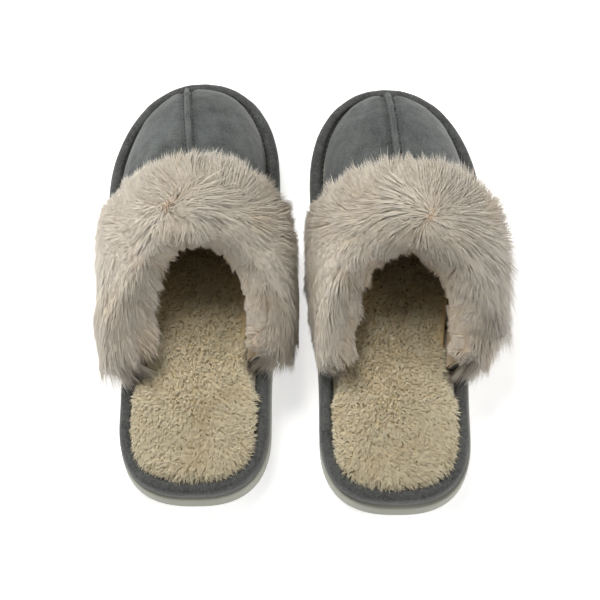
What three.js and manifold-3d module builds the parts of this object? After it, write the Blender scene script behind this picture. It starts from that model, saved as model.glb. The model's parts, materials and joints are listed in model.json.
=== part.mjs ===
// A pair of fluffy house slippers: closed toe, open heel, suede upper with a centre
// ridge, long-pile collar turned out over the opening, plush footbed, moulded sole.
// Units are millimetres. +Z is up, +Y points to the toes, +X is the wearer's right.
// Every piece is drawn once for a left foot, whose inner (medial) side is +X, and
// mirrored for the right foot.

import * as THREE from "three";
import { mergeVertices } from "three/addons/utils/BufferGeometryUtils.js";
import Module from "manifold-3d";

// ---------------------------------------------------------------- driving sizes

const GAP = 0.3; // clearance between touching pieces
const HALF_TURN = Math.PI;
const QUARTER_TURN = Math.PI / 2;
const WELD = 1e-4; // points closer than this are one point

// sole plan
const SOLE_LENGTH = 265;
const LENGTHWISE = SOLE_LENGTH / 265; // places along the sole move with its length
const FOREFOOT_WIDTH = 103.5;
const HEEL_WIDTH = 85;
const TOE_CAP_LENGTH = 74.5 * LENGTHWISE; // rounded toe end of the plan
const HEEL_CAP_LENGTH = 44.5 * LENGTHWISE; // rounded heel end of the plan
const TOE_SQUARENESS = 2.15;
const HEEL_SQUARENESS = 2.6;
const BALL_SWING = 4.6; // how far the plan bows outwards at the ball
const BALL_PLACE = 0.34; // where it bows most, as a share of the half length
const BALL_REACH = 0.42;
const WIDENING_FROM = -0.57; // the flanks widen between these shares of the half length
const WIDENING_TO = 0.42;
const HEEL_SHIFT = 2; // how far toe and heel lie towards the inner side

// sole stack, from the ground up
const OUTSOLE_HEIGHT = 13;
const OUTSOLE_FLARE = 1; // how far its wall stands out past the rim at the heel
const RECESS_DEPTH = 1.8;
const RECESS_WALL = 6;
const BOARD_THICKNESS = 1.5;
const FOAM_THICKNESS = 7.7;
const FOAM_EDGE = 2.2; // foam edge, in from the sole edge
const FOAM_SHOULDER = 3.2; // radius of its rounded top edge
const PLUSH_PILE = 8;
const PLUSH_ROOM = 0.66; // left for the lining, which leans inwards, per share of its lean
const PLUSH_CLEARANCE = 4 * LENGTHWISE; // from the back end of the upper to where the plush widens
const PLUSH_WIDENING = 18 * LENGTHWISE; // length over which it widens

// Wall of the outsole: in from the edge, share of the flare, share of the height.
const OUTSOLE_PROFILE = [[0.9, 0.9, 0], [0.1, 1, 0.11], [0, 0.7, 0.7], [0.1, 0.5, 0.92], [0.6, 0.4, 1]];
// Side of the plush: in from its edge, share of the pile.
const PLUSH_PROFILE = [[0.6, 0], [0, 0.4], [1.2, 0.8], [4.5, 1]];

// tread
const TREAD_DEPTH = 2.2;
const GROOVE_WIDTH = 3.2;
const GROOVE_PITCH = 10.5 * LENGTHWISE;
const FOREFOOT_GROOVES = 9;
const HEEL_GROOVES = 5;
const SEAT_PAD_Y = -88 * LENGTHWISE; // plain pad between the heel grooves

// rim
const RIM_SKIN = 1.3;
const RIM_WIDTH = 7;
const RIM_PLAY = 1.6; // from the top of the foam to the inside of the rim
const RIM_HEIGHT = FOAM_THICKNESS + RIM_SKIN + RIM_PLAY;
const RIM_CREST = RIM_WIDTH - 2.4; // its highest line, in from the edge

// Section of the rim: in from the edge, share of the height.
const RIM_OUTSIDE = [[0.5, 0], [-0.1, 0.3], [0.8, 0.75], [2.6, 0.96], [RIM_CREST, 1]];
const RIM_UNDER = RIM_HEIGHT - RIM_SKIN;
const LIP_REST = FOAM_THICKNESS + GAP; // its inner edge comes down to the foam
const RIM_LIP = [
  [RIM_WIDTH - 0.7, 0.9], [RIM_WIDTH, LIP_REST / RIM_HEIGHT], [RIM_WIDTH - 1, (LIP_REST + GAP) / RIM_HEIGHT],
];
const RIM_INSIDE = [
  [RIM_CREST, RIM_UNDER / RIM_HEIGHT], [2.7, (RIM_UNDER - 0.6) / RIM_HEIGHT], [1.3, 0.3], [1.8, 0],
];

// upper
const SEAM_GROOVE = 1.4; // between the rim and the foot of the upper
const UPPER_INSET = RIM_WIDTH + SEAM_GROOVE;
const SUEDE = 1.2;
const INTERLINING = 2;
const LINING = 1.2;
const WING_END_Y = -56 * LENGTHWISE; // how far back the sides of the upper reach
const THROAT_Y = 3 * LENGTHWISE;
const INSTEP_HEIGHT = 71;
const WING_TOP_HEIGHT = 40;
const UPRIGHT_HALF_WIDTH = 0.4 * HEEL_WIDTH; // of the opening, on the side that stands up
const SPLAY = 9; // how much further out the side that has flopped outwards reaches
const SPLAYED_HALF_WIDTH = UPRIGHT_HALF_WIDTH + SPLAY;
const WING_BEND = 0.7; // how much the side walls curl over, in radians
const WALL_FROM = 0.15; // over this stretch, 0 centre and 1 wing, the instep turns into a wall
const WALL_TO = 0.9;
const TOP_SWEEP = 2.2; // the higher, the longer the opening's edge stays forward
const TOP_DROP = 1.8; // and the longer it stays high
const SEAM_HALF_GAP = 0.006; // of the way from the centre to a wing

// ridge
const RIDGE_WIDTH = 3.4;
const RIDGE_HEIGHT = 1.4;
const RIDGE_FLAT = 2 / 3; // flat top, as a share of the width
const RIDGE_START = 0.04; // share of the way up the upper
const RIDGE_SHORT = 0.015; // it stops this short of the collar

// collar
const COLLAR_PILE = 17.5; // thickness of backing and pile outside the upper
const COLLAR_CLEARANCE = 0.6;
const TURN_CLEARANCE = 1.4; // over the raw edge of the upper and inside it
const COLLAR_FRONT_Y = 44 * LENGTHWISE; // its front edge over the instep
const COLLAR_SWEEP = 20 * LENGTHWISE; // how far that edge runs back towards the sides
const COLLAR_FOOT = 6.5; // height of its lower edge over the foot of the upper
const COLLAR_TURN_SKIN = 2.2;
const COLLAR_STITCH_LEVEL = 0.78; // 0 at its lower edge, 1 at the opening
const COLLAR_STITCH_SHORT = 0.06; // share of the way to the wings that it leaves free
const COLLAR_THINNING = 0.25; // the pile is this share thinner at the wings
const COLLAR_EDGE_SHARE = 0.55; // of the pile, at its lower edge

// Crown of the collar past the opening's edge: shares of the pile, outwards and onwards.
const COLLAR_CROWN = [[-0.11, 0.36], [0.5, 0.42], [0.9, 0.18]];

// thread
const THREAD = 0.35; // radius
const THREAD_SIDES = 4;
const STITCH_START = 0.05; // along the ridge, share of the way up the upper
const STITCH_BREAK = 0.06; // radians of the edge left between the heel and toe runs
const RIM_STITCH_STEPS = 40;
const VAMP_STITCH_STEPS = 48;
const RIDGE_STITCH_STEPS = 14;
const COLLAR_STITCH_STEPS = 24;

// the pair
const COLLARS_APART = 5.5;
const SOLES_APART = 4; // least distance
const LEFT_SHARE = 0.5; // how far the left collar may pass the middle
const STAGGER = 4.2; // the right slipper stands this much further back

// How the two differ: see the class Upper. soleShift is how far the sole sits off the upper.
const LEFT_SHAPE = { seamTurn: -0.15, throatShift: 5, splayed: 1, soleShift: [0.3, -0.8, 0] };
const RIGHT_SHAPE = { seamTurn: 0, throatShift: -3, splayed: -1, soleShift: [-1, -1.6, 0] };

const COLOUR = {
  outsole: "#c9c4b0",
  board: "#8d7a5e",
  foam: "#e6e2d6",
  suede: "#6b7172",
  rim: "#676b6c",
  plush: "#cdb98c",
  lining: "#a08763",
  fur: "#d9cdc0",
  greyThread: "#4a4d4e",
  creamThread: "#cbbfae",
};

// mesh fineness
const PLAN_STEPS = 48;
const UPPER_COLUMNS = 24; // even, so that one line lies on the centre seam
const LOWER_ROWS = 4; // rows below the collar
const ROW_CLOSENESS = 1.5; // above 1, those rows lie closer together near the foot
const COLLAR_ROWS = 3; // rows under the collar
const RIDGE_STEPS = 12;

// ---------------------------------------------------------------- derived levels

const HALF_LENGTH = SOLE_LENGTH / 2;
const BOARD_Z = OUTSOLE_HEIGHT - RECESS_DEPTH + GAP;
const FOAM_Z = OUTSOLE_HEIGHT + GAP;
const FOAM_TOP = FOAM_Z + FOAM_THICKNESS;
const BED_Z = FOAM_TOP + GAP;
const RIM_Z = OUTSOLE_HEIGHT + GAP;
const FOAM_LAYER = SUEDE + GAP; // depth at which the interlining starts
const LINING_LAYER = FOAM_LAYER + INTERLINING + GAP;
const UPPER_DEPTH = LINING_LAYER + LINING;
const GROOVE_INSET = (RIM_WIDTH + UPPER_INSET) / 2; // middle of the groove inside the rim
const PLUSH_HEEL_INSET = UPPER_INSET + GAP * 2;
const UPPER_LEAN = (HALF_LENGTH - UPPER_INSET - THROAT_Y) / (INSTEP_HEIGHT - BED_Z);
const PLUSH_TOE_INSET = UPPER_INSET + UPPER_DEPTH + PLUSH_ROOM * UPPER_LEAN;
const WING_PHI = Math.acos(WING_END_Y / HALF_LENGTH);
const TURN_DEPTH = UPPER_DEPTH + TURN_CLEARANCE; // depth of the collar's turned-in skin
const SOLE_REACH = (FOREFOOT_WIDTH + SOLES_APART) / 2;
const LEFT_X = -Math.max(SPLAYED_HALF_WIDTH + COLLAR_PILE - LEFT_SHARE, SOLE_REACH);
const RIGHT_X = Math.max(UPRIGHT_HALF_WIDTH + COLLAR_PILE + LEFT_SHARE + COLLARS_APART, SOLE_REACH);
const ROUND_MIDDLE = 1 - Math.SQRT1_2; // a rounded edge's middle, as a share of its radius

// ---------------------------------------------------------------- small helpers

const wasm = await Module();
wasm.setup();

function mix(from, to, share) {
  return from + (to - from) * share;
}

function smooth(from, to, value) {
  const share = THREE.MathUtils.clamp((value - from) / (to - from), 0, 1);
  return share * share * (3 - 2 * share);
}

// What pointAt gives at equal steps from one value to another, both ends included.
function run(count, from, to, pointAt) {
  return Array.from({ length: count + 1 }, (_, i) => pointAt(mix(from, to, i / count)));
}

// A closed geometry from points and triangles, turned so that its faces point out.
function closedGeometry(points, triangles) {
  let volume = 0;
  const cross = new THREE.Vector3();
  for (const [a, b, c] of triangles) {
    volume += points[a].dot(cross.crossVectors(points[b], points[c]));
  }
  const index = [];
  for (const [a, b, c] of triangles) index.push(a, ...(volume < 0 ? [c, b] : [b, c]));
  const geometry = new THREE.BufferGeometry().setFromPoints(points);
  geometry.setIndex(index);
  return geometry;
}

// The body between two grids of the same size, joined round their four edges.
function slabGeometry(outer, inner) {
  const rows = outer.length;
  const columns = outer[0].length;
  const points = [...outer.flat(), ...inner.flat()];
  const back = rows * columns;
  const at = (row, column, side) => side * back + row * columns + column;
  const triangles = [];
  const quad = (a, b, c, d) => triangles.push([a, b, c], [a, c, d]);
  for (let r = 0; r < rows - 1; r++) {
    for (let c = 0; c < columns - 1; c++) {
      const corners = [[r, c], [r + 1, c], [r + 1, c + 1], [r, c + 1]];
      quad(...corners.map(([i, j]) => at(i, j, 0)));
      const [p, q, s, t] = corners.map(([i, j]) => at(i, j, 1));
      triangles.push([p, s, q], [p, t, s]);
    }
  }
  const border = [];
  for (let c = 0; c < columns - 1; c++) border.push([0, c]);
  for (let r = 0; r < rows - 1; r++) border.push([r, columns - 1]);
  for (let c = columns - 1; c > 0; c--) border.push([rows - 1, c]);
  for (let r = rows - 1; r > 0; r--) border.push([r, 0]);
  border.forEach(([r, c], i) => {
    const [nr, nc] = border[(i + 1) % border.length];
    quad(at(r, c, 0), at(nr, nc, 0), at(nr, nc, 1), at(r, c, 1));
  });
  return closedGeometry(points, triangles);
}

// Rings joined one after the other; an open run of rings is closed by a fan at each end.
function ringsGeometry(rings, closed) {
  const size = rings[0].length;
  const points = rings.flat();
  const triangles = [];
  const last = closed ? rings.length : rings.length - 1;
  for (let r = 0; r < last; r++) {
    const next = (r + 1) % rings.length;
    for (let i = 0; i < size; i++) {
      const j = (i + 1) % size;
      const [a, b, c, d] = [r * size + i, r * size + j, next * size + j, next * size + i];
      triangles.push([a, b, c], [a, c, d]);
    }
  }
  if (!closed) {
    for (const [ring, flip] of [[0, true], [rings.length - 1, false]]) {
      const centre = new THREE.Vector3();
      rings[ring].forEach((p) => centre.addScaledVector(p, 1 / size));
      points.push(centre);
      const hub = points.length - 1;
      for (let i = 0; i < size; i++) {
        const rim = [ring * size + i, ring * size + ((i + 1) % size)];
        triangles.push(flip ? [hub, rim[1], rim[0]] : [hub, ...rim]);
      }
    }
  }
  return closedGeometry(points, triangles);
}

// A ring whose section is not convex is closed by an ear-cut cap instead of a fan.
function sectionsGeometry(rings) {
  const size = rings[0].length;
  const points = rings.flat();
  const triangles = [];
  for (let r = 0; r < rings.length - 1; r++) {
    for (let i = 0; i < size; i++) {
      const j = (i + 1) % size;
      const [a, b] = [r * size + i, r * size + j];
      triangles.push([a, b, b + size], [a, b + size, a + size]);
    }
  }
  for (const [ring, flip] of [[0, true], [rings.length - 1, false]]) {
    for (const [a, b, c] of capTriangles(rings[ring])) {
      const start = ring * size;
      triangles.push(flip ? [start + a, start + c, start + b] : [start + a, start + b, start + c]);
    }
  }
  return closedGeometry(points, triangles);
}

// Ear-cut of one ring, seen along its own mean normal and kept in the ring's own turn.
function capTriangles(ring) {
  const normal = new THREE.Vector3();
  ring.forEach((p, i) => normal.add(p.clone().cross(ring[(i + 1) % ring.length])));
  normal.normalize();
  const across = ring[1].clone().sub(ring[0]).cross(normal).normalize();
  const along = normal.clone().cross(across);
  const flat = ring.map((p) => new THREE.Vector2(p.dot(across), p.dot(along)));
  const turn = THREE.ShapeUtils.area(flat);
  return THREE.ShapeUtils.triangulateShape(flat, []).map(([a, b, c]) => {
    const area = (flat[b].x - flat[a].x) * (flat[c].y - flat[a].y)
      - (flat[c].x - flat[a].x) * (flat[b].y - flat[a].y);
    return area * turn > 0 ? [a, b, c] : [a, c, b];
  });
}

function toSolid(geometry) {
  const bare = geometry.index ? geometry.clone() : mergeVertices(geometry.clone());
  bare.deleteAttribute("normal");
  bare.deleteAttribute("uv");
  const merged = mergeVertices(bare, WELD);
  return new wasm.Manifold(new wasm.Mesh({
    numProp: 3,
    vertProperties: new Float32Array(merged.attributes.position.array),
    triVerts: new Uint32Array(merged.index.array),
  }));
}

function fromSolid(solid) {
  const mesh = solid.getMesh();
  const geometry = new THREE.BufferGeometry();
  geometry.setAttribute("position", new THREE.BufferAttribute(mesh.vertProperties, 3));
  geometry.setIndex(new THREE.BufferAttribute(mesh.triVerts, 1));
  return geometry;
}

function finish(colour, roughness) {
  return new THREE.MeshStandardMaterial({ color: colour, roughness, metalness: 0 });
}

// ---------------------------------------------------------------- sole plan

// Half width of the sole at a station along it.
function halfWidth(y) {
  const widening = smooth(WIDENING_FROM, WIDENING_TO, y / HALF_LENGTH);
  const flank = mix(HEEL_WIDTH, FOREFOOT_WIDTH, widening) / 2;
  const toe = Math.max(0, (y - HALF_LENGTH + TOE_CAP_LENGTH) / TOE_CAP_LENGTH);
  const heel = Math.max(0, (-y - HALF_LENGTH + HEEL_CAP_LENGTH) / HEEL_CAP_LENGTH);
  const toeCap = Math.max(0, 1 - toe ** TOE_SQUARENESS) ** (1 / TOE_SQUARENESS);
  const heelCap = Math.max(0, 1 - heel ** HEEL_SQUARENESS) ** (1 / HEEL_SQUARENESS);
  return flank * toeCap * heelCap;
}

// The middle of the sole bows outwards at the ball of the foot.
function midLine(y) {
  const reach = (y / HALF_LENGTH - BALL_PLACE) / BALL_REACH;
  return HEEL_SHIFT - BALL_SWING * Math.exp(-reach * reach);
}

// A point of the sole edge. phi is 0 at the toe, a half turn at the heel, and positive
// on the inner side.
function edgePoint(phi) {
  const y = HALF_LENGTH * Math.cos(phi);
  return new THREE.Vector2(midLine(y) + Math.sign(Math.sin(phi)) * halfWidth(y), y);
}

// The same point moved in from the edge, square to it.
function insetPoint(phi, inset) {
  const step = 0.03;
  const along = edgePoint(phi + step).sub(edgePoint(phi - step)).normalize();
  const point = edgePoint(phi);
  return new THREE.Vector3(point.x + along.y * inset, point.y - along.x * inset, 0);
}

function planRing(inset, z, steps = PLAN_STEPS) {
  return Array.from({ length: steps }, (_, i) => {
    const phi = (i / steps) * 2 * HALF_TURN;
    const point = insetPoint(phi, typeof inset === "function" ? inset(phi) : inset);
    return point.setZ(z);
  });
}

// ---------------------------------------------------------------- the upper's surface

// One slipper's upper. Hand-lasted slippers differ a little: seamTurn moves the toe end
// of the centre seam round the toe, throatShift moves its other end sideways, and splayed
// is the side, +1 inner or -1 outer, whose wall has flopped outwards.
class Upper {
  constructor({ seamTurn, throatShift, splayed }) {
    Object.assign(this, { seamTurn, throatShift, splayed });
  }

  // Foot of the upper: across runs from -1 at the outer wing to +1 at the inner wing.
  foot(across) {
    const phi = across * WING_PHI + this.seamTurn * (1 - across * across);
    return insetPoint(phi, UPPER_INSET).setZ(BED_Z);
  }

  // Edge of the opening over the same range.
  topLine(across) {
    const side = Math.sign(across);
    const reach = Math.abs(across);
    const swing = reach * QUARTER_TURN;
    const width = side === this.splayed ? SPLAYED_HALF_WIDTH : UPRIGHT_HALF_WIDTH;
    const wing = this.foot(side || 1);
    const y = mix(THROAT_Y, wing.y, reach ** TOP_SWEEP);
    const x = midLine(y) + this.throatShift * (1 - reach) ** 2 + side * width * Math.sin(swing);
    const z = mix(INSTEP_HEIGHT, WING_TOP_HEIGHT, reach ** TOP_DROP);
    return new THREE.Vector3(x, y, z);
  }

  // How far the line from foot to opening turns over: to level at the centre seam,
  // only a little at the wings, whose walls stay upright.
  bend(across) {
    return mix(QUARTER_TURN, WING_BEND, smooth(WALL_FROM, WALL_TO, Math.abs(across)));
  }

  // Outside of the upper: up is 0 at the foot and 1 at the opening. Each line starts
  // upright at the rim.
  surface(across, up) {
    const foot = this.foot(across);
    const top = this.topLine(across);
    const bend = this.bend(across);
    const over = (1 - Math.cos(up * bend)) / (1 - Math.cos(bend));
    const rise = Math.sin(up * bend) / Math.sin(bend);
    return new THREE.Vector3(
      mix(foot.x, top.x, over),
      mix(foot.y, top.y, over),
      mix(foot.z, top.z, rise),
    );
  }

  // Directions on the surface, square to each other: along the collar, up towards the
  // opening, and outwards.
  frame(across, up) {
    const step = 0.01;
    const side = this.surface(across + step, up).sub(this.surface(across - step, up));
    const climb = this.surface(across, up + step).sub(this.surface(across, up - step));
    const out = climb.cross(side).normalize();
    side.normalize();
    return { side, rise: side.clone().cross(out), out };
  }

  // A point off the surface: out along its normal, beyond it along the rise, and
  // aside along the collar.
  point(across, up, out = 0, beyond = 0, aside = 0) {
    const frame = this.frame(across, up);
    return this.surface(across, up)
      .addScaledVector(frame.out, out)
      .addScaledVector(frame.rise, beyond)
      .addScaledVector(frame.side, aside);
  }

  // Where the edge of the collar crosses each line of the upper: straight over the
  // instep at one station, then down each side to just above the rim.
  collarEdge(across) {
    const foot = this.foot(across);
    const top = this.topLine(across);
    const bend = this.bend(across);
    const low = Math.asin((COLLAR_FOOT / (top.z - foot.z)) * Math.sin(bend)) / bend;
    const front = COLLAR_FRONT_Y - COLLAR_SWEEP * across * across;
    const over = Math.max(0, (foot.y - front) / (foot.y - top.y)) * (1 - Math.cos(bend));
    return Math.max(low, Math.acos(1 - over) / bend);
  }

  // Rows follow the collar, so that what lies on the upper lies along its facets.
  rows(across) {
    const edge = this.collarEdge(across);
    const lower = Array.from({ length: LOWER_ROWS }, (_, i) => edge * (i / LOWER_ROWS) ** ROW_CLOSENESS);
    const upper = Array.from({ length: COLLAR_ROWS + 1 }, (_, i) => mix(edge, 1, i / COLLAR_ROWS));
    return [...lower, ...upper];
  }

  // Stations across the upper from one end to the other. Those between the ends are
  // the same for every layer, so that layers lie along each other's facets.
  stations(from, to) {
    const all = Array.from({ length: UPPER_COLUMNS + 1 }, (_, i) => (2 * i) / UPPER_COLUMNS - 1);
    const half = 1 / UPPER_COLUMNS;
    return [from, ...all.filter((station) => station > from + half && station < to - half), to];
  }

  // A grid of points at one depth under the surface.
  grid(depth, stations) {
    const count = LOWER_ROWS + COLLAR_ROWS + 1;
    return Array.from({ length: count }, (_, row) => stations.map((across) => {
      const point = this.point(across, this.rows(across)[row], -depth);
      return row === 0 ? point.setZ(BED_Z) : point;
    }));
  }
}

// ---------------------------------------------------------------- sole pieces

function outsoleGeometry() {
  // The wall flares only round the heel.
  const flare = (phi) => OUTSOLE_FLARE * smooth(0.2, -0.6, Math.cos(phi));
  const wall = OUTSOLE_PROFILE.map(([inset, share, rise]) => (
    planRing((phi) => inset - share * flare(phi), rise * OUTSOLE_HEIGHT)
  ));
  const recess = [0, RECESS_DEPTH].map((depth) => planRing(RECESS_WALL, OUTSOLE_HEIGHT - depth));
  let solid = toSolid(ringsGeometry([...wall, ...recess], false));
  for (const y of grooveStations()) {
    const reach = halfWidth(y) * 2 + RIM_WIDTH;
    const groove = new THREE.BoxGeometry(reach, GROOVE_WIDTH, TREAD_DEPTH * 2);
    groove.translate(midLine(y), y, 0);
    solid = solid.subtract(toSolid(groove));
  }
  return fromSolid(solid);
}

// Grooves run across the forefoot and across the heel, where they leave a plain pad.
function grooveStations() {
  const ball = HALF_LENGTH * 0.45;
  const stations = [];
  for (let i = 0; i < FOREFOOT_GROOVES; i++) {
    stations.push(ball + (i - (FOREFOOT_GROOVES - 1) / 2) * GROOVE_PITCH);
  }
  for (let i = 0; i < HEEL_GROOVES; i++) {
    const y = SEAT_PAD_Y + (i - (HEEL_GROOVES - 1) / 2) * GROOVE_PITCH;
    if (Math.abs(y - SEAT_PAD_Y) > GROOVE_WIDTH) stations.push(y);
  }
  return stations;
}

function boardGeometry() {
  const inset = RECESS_WALL + GAP;
  return ringsGeometry([planRing(inset, BOARD_Z), planRing(inset, BOARD_Z + BOARD_THICKNESS)], false);
}

function midsoleGeometry() {
  const middle = FOAM_SHOULDER * ROUND_MIDDLE;
  return ringsGeometry([
    planRing(FOAM_EDGE, FOAM_Z),
    planRing(FOAM_EDGE, FOAM_TOP - FOAM_SHOULDER),
    planRing(FOAM_EDGE + middle, FOAM_TOP - middle),
    planRing(FOAM_EDGE + FOAM_SHOULDER, FOAM_TOP),
  ], false);
}

// The rim is a skin rolled over the foam edge: up the outside, over, and down to the bed.
function rimGeometry() {
  const section = [...RIM_OUTSIDE, ...RIM_LIP, ...RIM_INSIDE];
  const rings = Array.from({ length: PLAN_STEPS }, (_, i) => {
    const phi = (i / PLAN_STEPS) * 2 * HALF_TURN;
    return section.map(([inset, share]) => insetPoint(phi, inset).setZ(RIM_Z + share * RIM_HEIGHT));
  });
  return ringsGeometry(rings, true);
}

// The plush fills the bed; round the toe it stops at the lining, at the heel at the rim.
function plushGeometry() {
  const inset = (phi) => {
    const beyond = Math.cos(phi) * HALF_LENGTH - WING_END_Y + PLUSH_CLEARANCE;
    return mix(PLUSH_HEEL_INSET, PLUSH_TOE_INSET, smooth(-PLUSH_WIDENING, 0, beyond));
  };
  return ringsGeometry(PLUSH_PROFILE.map(([more, share]) => (
    planRing((phi) => inset(phi) + more, BED_Z + share * PLUSH_PILE)
  )), false);
}

// ---------------------------------------------------------------- upper pieces

function layerGeometry(upper, depth, thickness, from = -1, to = 1) {
  const stations = upper.stations(from, to);
  return slabGeometry(upper.grid(depth, stations), upper.grid(depth + thickness, stations));
}

// One suede half. It stops short of the centre seam by half the seam gap.
function suedeHalfGeometry(upper, side) {
  const seam = side * SEAM_HALF_GAP;
  return side > 0 ? layerGeometry(upper, 0, SUEDE, seam, 1) : layerGeometry(upper, 0, SUEDE, -1, seam);
}

// The ridge lies over the centre seam, from the rim to under the collar's front edge.
function ridgeGeometry(upper) {
  const half = RIDGE_WIDTH / 2;
  const flat = half * RIDGE_FLAT;
  const section = [[-half, 0], [-flat, RIDGE_HEIGHT], [flat, RIDGE_HEIGHT], [half, 0]];
  return ringsGeometry(run(RIDGE_STEPS, RIDGE_START, upper.collarEdge(0) - RIDGE_SHORT, (up) => (
    section.map(([aside, out]) => upper.point(0, up, GAP + out, 0, aside))
  )), false);
}

// Collar: a C-shaped section that lies on the upper, turns over its edge and down inside.
function collarGeometry(upper) {
  return sectionsGeometry(run(UPPER_COLUMNS, -1, 1, (across) => {
    const rows = upper.rows(across).slice(LOWER_ROWS);
    const pile = COLLAR_PILE * (1 - COLLAR_THINNING * Math.abs(across) ** 4);
    const under = rows.map((up) => upper.point(across, up, COLLAR_CLEARANCE));
    const over = rows.map((up, row) => {
      const share = row === 0 ? COLLAR_EDGE_SHARE : 1;
      return upper.point(across, up, COLLAR_CLEARANCE + pile * share);
    });
    const turned = rows[rows.length - 2];
    const hem = [
      upper.point(across, 1, COLLAR_CLEARANCE, TURN_CLEARANCE),
      upper.point(across, 1, -TURN_DEPTH, TURN_CLEARANCE),
      upper.point(across, 1, -TURN_DEPTH),
      upper.point(across, turned, -TURN_DEPTH),
      upper.point(across, turned, -TURN_DEPTH - COLLAR_TURN_SKIN),
      upper.point(across, 1, -TURN_DEPTH - COLLAR_TURN_SKIN, 1),
    ];
    const crown = COLLAR_CROWN.map(([out, on]) => upper.point(across, 1, pile * out, pile * on));
    return [...under, ...hem, ...crown, ...over.reverse()];
  }));
}

// ---------------------------------------------------------------- thread

function threadGeometry(points, steps) {
  const path = new THREE.CatmullRomCurve3(points, false, "centripetal");
  const section = new THREE.Shape(Array.from({ length: THREAD_SIDES }, (_, i) => {
    const turn = (i / THREAD_SIDES) * 2 * HALF_TURN;
    return new THREE.Vector2(Math.cos(turn) * THREAD, Math.sin(turn) * THREAD);
  }));
  return new THREE.ExtrudeGeometry(section, { steps, extrudePath: path, curveSegments: 1 });
}

// In the groove inside the rim, from one station round the edge to another.
function grooveStitchGeometry(from, to, steps) {
  const z = BED_Z + THREAD;
  return threadGeometry(run(steps, from, to, (phi) => insetPoint(phi, GROOVE_INSET).setZ(z)), steps);
}

// Round the heel, between the plush and the rim.
function rimStitchGeometry() {
  const start = WING_PHI + STITCH_BREAK;
  return grooveStitchGeometry(start, 2 * HALF_TURN - start, RIM_STITCH_STEPS);
}

// Round the toe, between the upper and the rim.
function vampStitchGeometry() {
  return grooveStitchGeometry(-WING_PHI, WING_PHI, VAMP_STITCH_STEPS);
}

function ridgeStitchGeometry(upper, side) {
  const aside = side * (RIDGE_WIDTH / 2 + GAP + THREAD * 2);
  const end = upper.collarEdge(0) - RIDGE_SHORT;
  return threadGeometry(run(RIDGE_STITCH_STEPS, STITCH_START, end, (up) => (
    upper.point(0, up, GAP + THREAD, 0, aside)
  )), RIDGE_STITCH_STEPS);
}

// Along the inside, at the turned-in edge of the collar.
function collarStitchGeometry(upper) {
  const depth = TURN_DEPTH + COLLAR_TURN_SKIN + GAP * 2 + THREAD;
  const route = run(COLLAR_STITCH_STEPS, COLLAR_STITCH_SHORT - 1, 1 - COLLAR_STITCH_SHORT, (across) => (
    upper.point(across, mix(upper.collarEdge(across), 1, COLLAR_STITCH_LEVEL), -depth)
  ));
  return threadGeometry(route, COLLAR_STITCH_STEPS);
}

// ---------------------------------------------------------------- one slipper

// mirror is 1 for the left foot and -1 for the right foot.
function slipper(name, mirror, shape) {
  const upper = new Upper(shape);
  const pieces = [
    ["outsole", outsoleGeometry().translate(...shape.soleShift), COLOUR.outsole, 0.6],
    ["insole_board", boardGeometry().translate(...shape.soleShift), COLOUR.board, 0.9],
    ["midsole_foam", midsoleGeometry(), COLOUR.foam, 0.9],
    ["rim_wrap", rimGeometry(), COLOUR.rim, 0.95],
    ["footbed_plush", plushGeometry(), COLOUR.plush, 1],
    ["vamp_medial", suedeHalfGeometry(upper, 1), COLOUR.suede, 0.95],
    ["vamp_lateral", suedeHalfGeometry(upper, -1), COLOUR.suede, 0.95],
    ["vamp_ridge", ridgeGeometry(upper), COLOUR.suede, 0.95],
    ["vamp_foam", layerGeometry(upper, FOAM_LAYER, INTERLINING), COLOUR.foam, 0.9],
    ["vamp_lining", layerGeometry(upper, LINING_LAYER, LINING), COLOUR.lining, 1],
    ["fur_cuff", collarGeometry(upper), COLOUR.fur, 1],
    ["rim_stitch", rimStitchGeometry(), COLOUR.greyThread, 0.8],
    ["vamp_stitch", vampStitchGeometry(), COLOUR.greyThread, 0.8],
    ["ridge_stitch_medial", ridgeStitchGeometry(upper, 1), COLOUR.greyThread, 0.8],
    ["ridge_stitch_lateral", ridgeStitchGeometry(upper, -1), COLOUR.greyThread, 0.8],
    ["cuff_stitch", collarStitchGeometry(upper), COLOUR.creamThread, 0.8],
  ];
  const group = new THREE.Group();
  for (const [part, geometry, colour, roughness] of pieces) {
    const mesh = new THREE.Mesh(mirror > 0 ? geometry : mirrored(geometry), finish(colour, roughness));
    mesh.name = `${name}_${part}`;
    group.add(mesh);
  }
  return group;
}

// The same geometry seen in a mirror across X, with its faces turned out again.
function mirrored(geometry) {
  const merged = geometry.clone();
  merged.deleteAttribute("normal");
  merged.deleteAttribute("uv");
  const copy = mergeVertices(merged, WELD);
  copy.scale(-1, 1, 1);
  const index = copy.index.array;
  for (let i = 0; i < index.length; i += 3) [index[i + 1], index[i + 2]] = [index[i + 2], index[i + 1]];
  return copy;
}

// ---------------------------------------------------------------- the pair

const left = slipper("left", 1, LEFT_SHAPE);
const right = slipper("right", -1, RIGHT_SHAPE);
left.position.set(LEFT_X, STAGGER / 2, 0);
right.position.set(RIGHT_X, -STAGGER / 2, 0);

// The origin is the middle of the pair's own box, on the ground.
const pair = new THREE.Group();
pair.add(left, right);
pair.updateMatrixWorld(true);
const middle = new THREE.Box3().setFromObject(pair, true).getCenter(new THREE.Vector3());
pair.position.set(-middle.x, -middle.y, 0);

export default pair;
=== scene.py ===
"""A pair of fluffy house slippers: moulded sole, suede rim and upper with a centre ridge,
plush footbed, long-pile fur collar turned out over the opening.

Laid out as an add-on and run as a script. Sizes are written in millimetres and turned
into metres where a mesh is made. Each slipper is drawn as a left foot, whose inner side
is +X, and mirrored for the right foot."""

import json
import math

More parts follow.
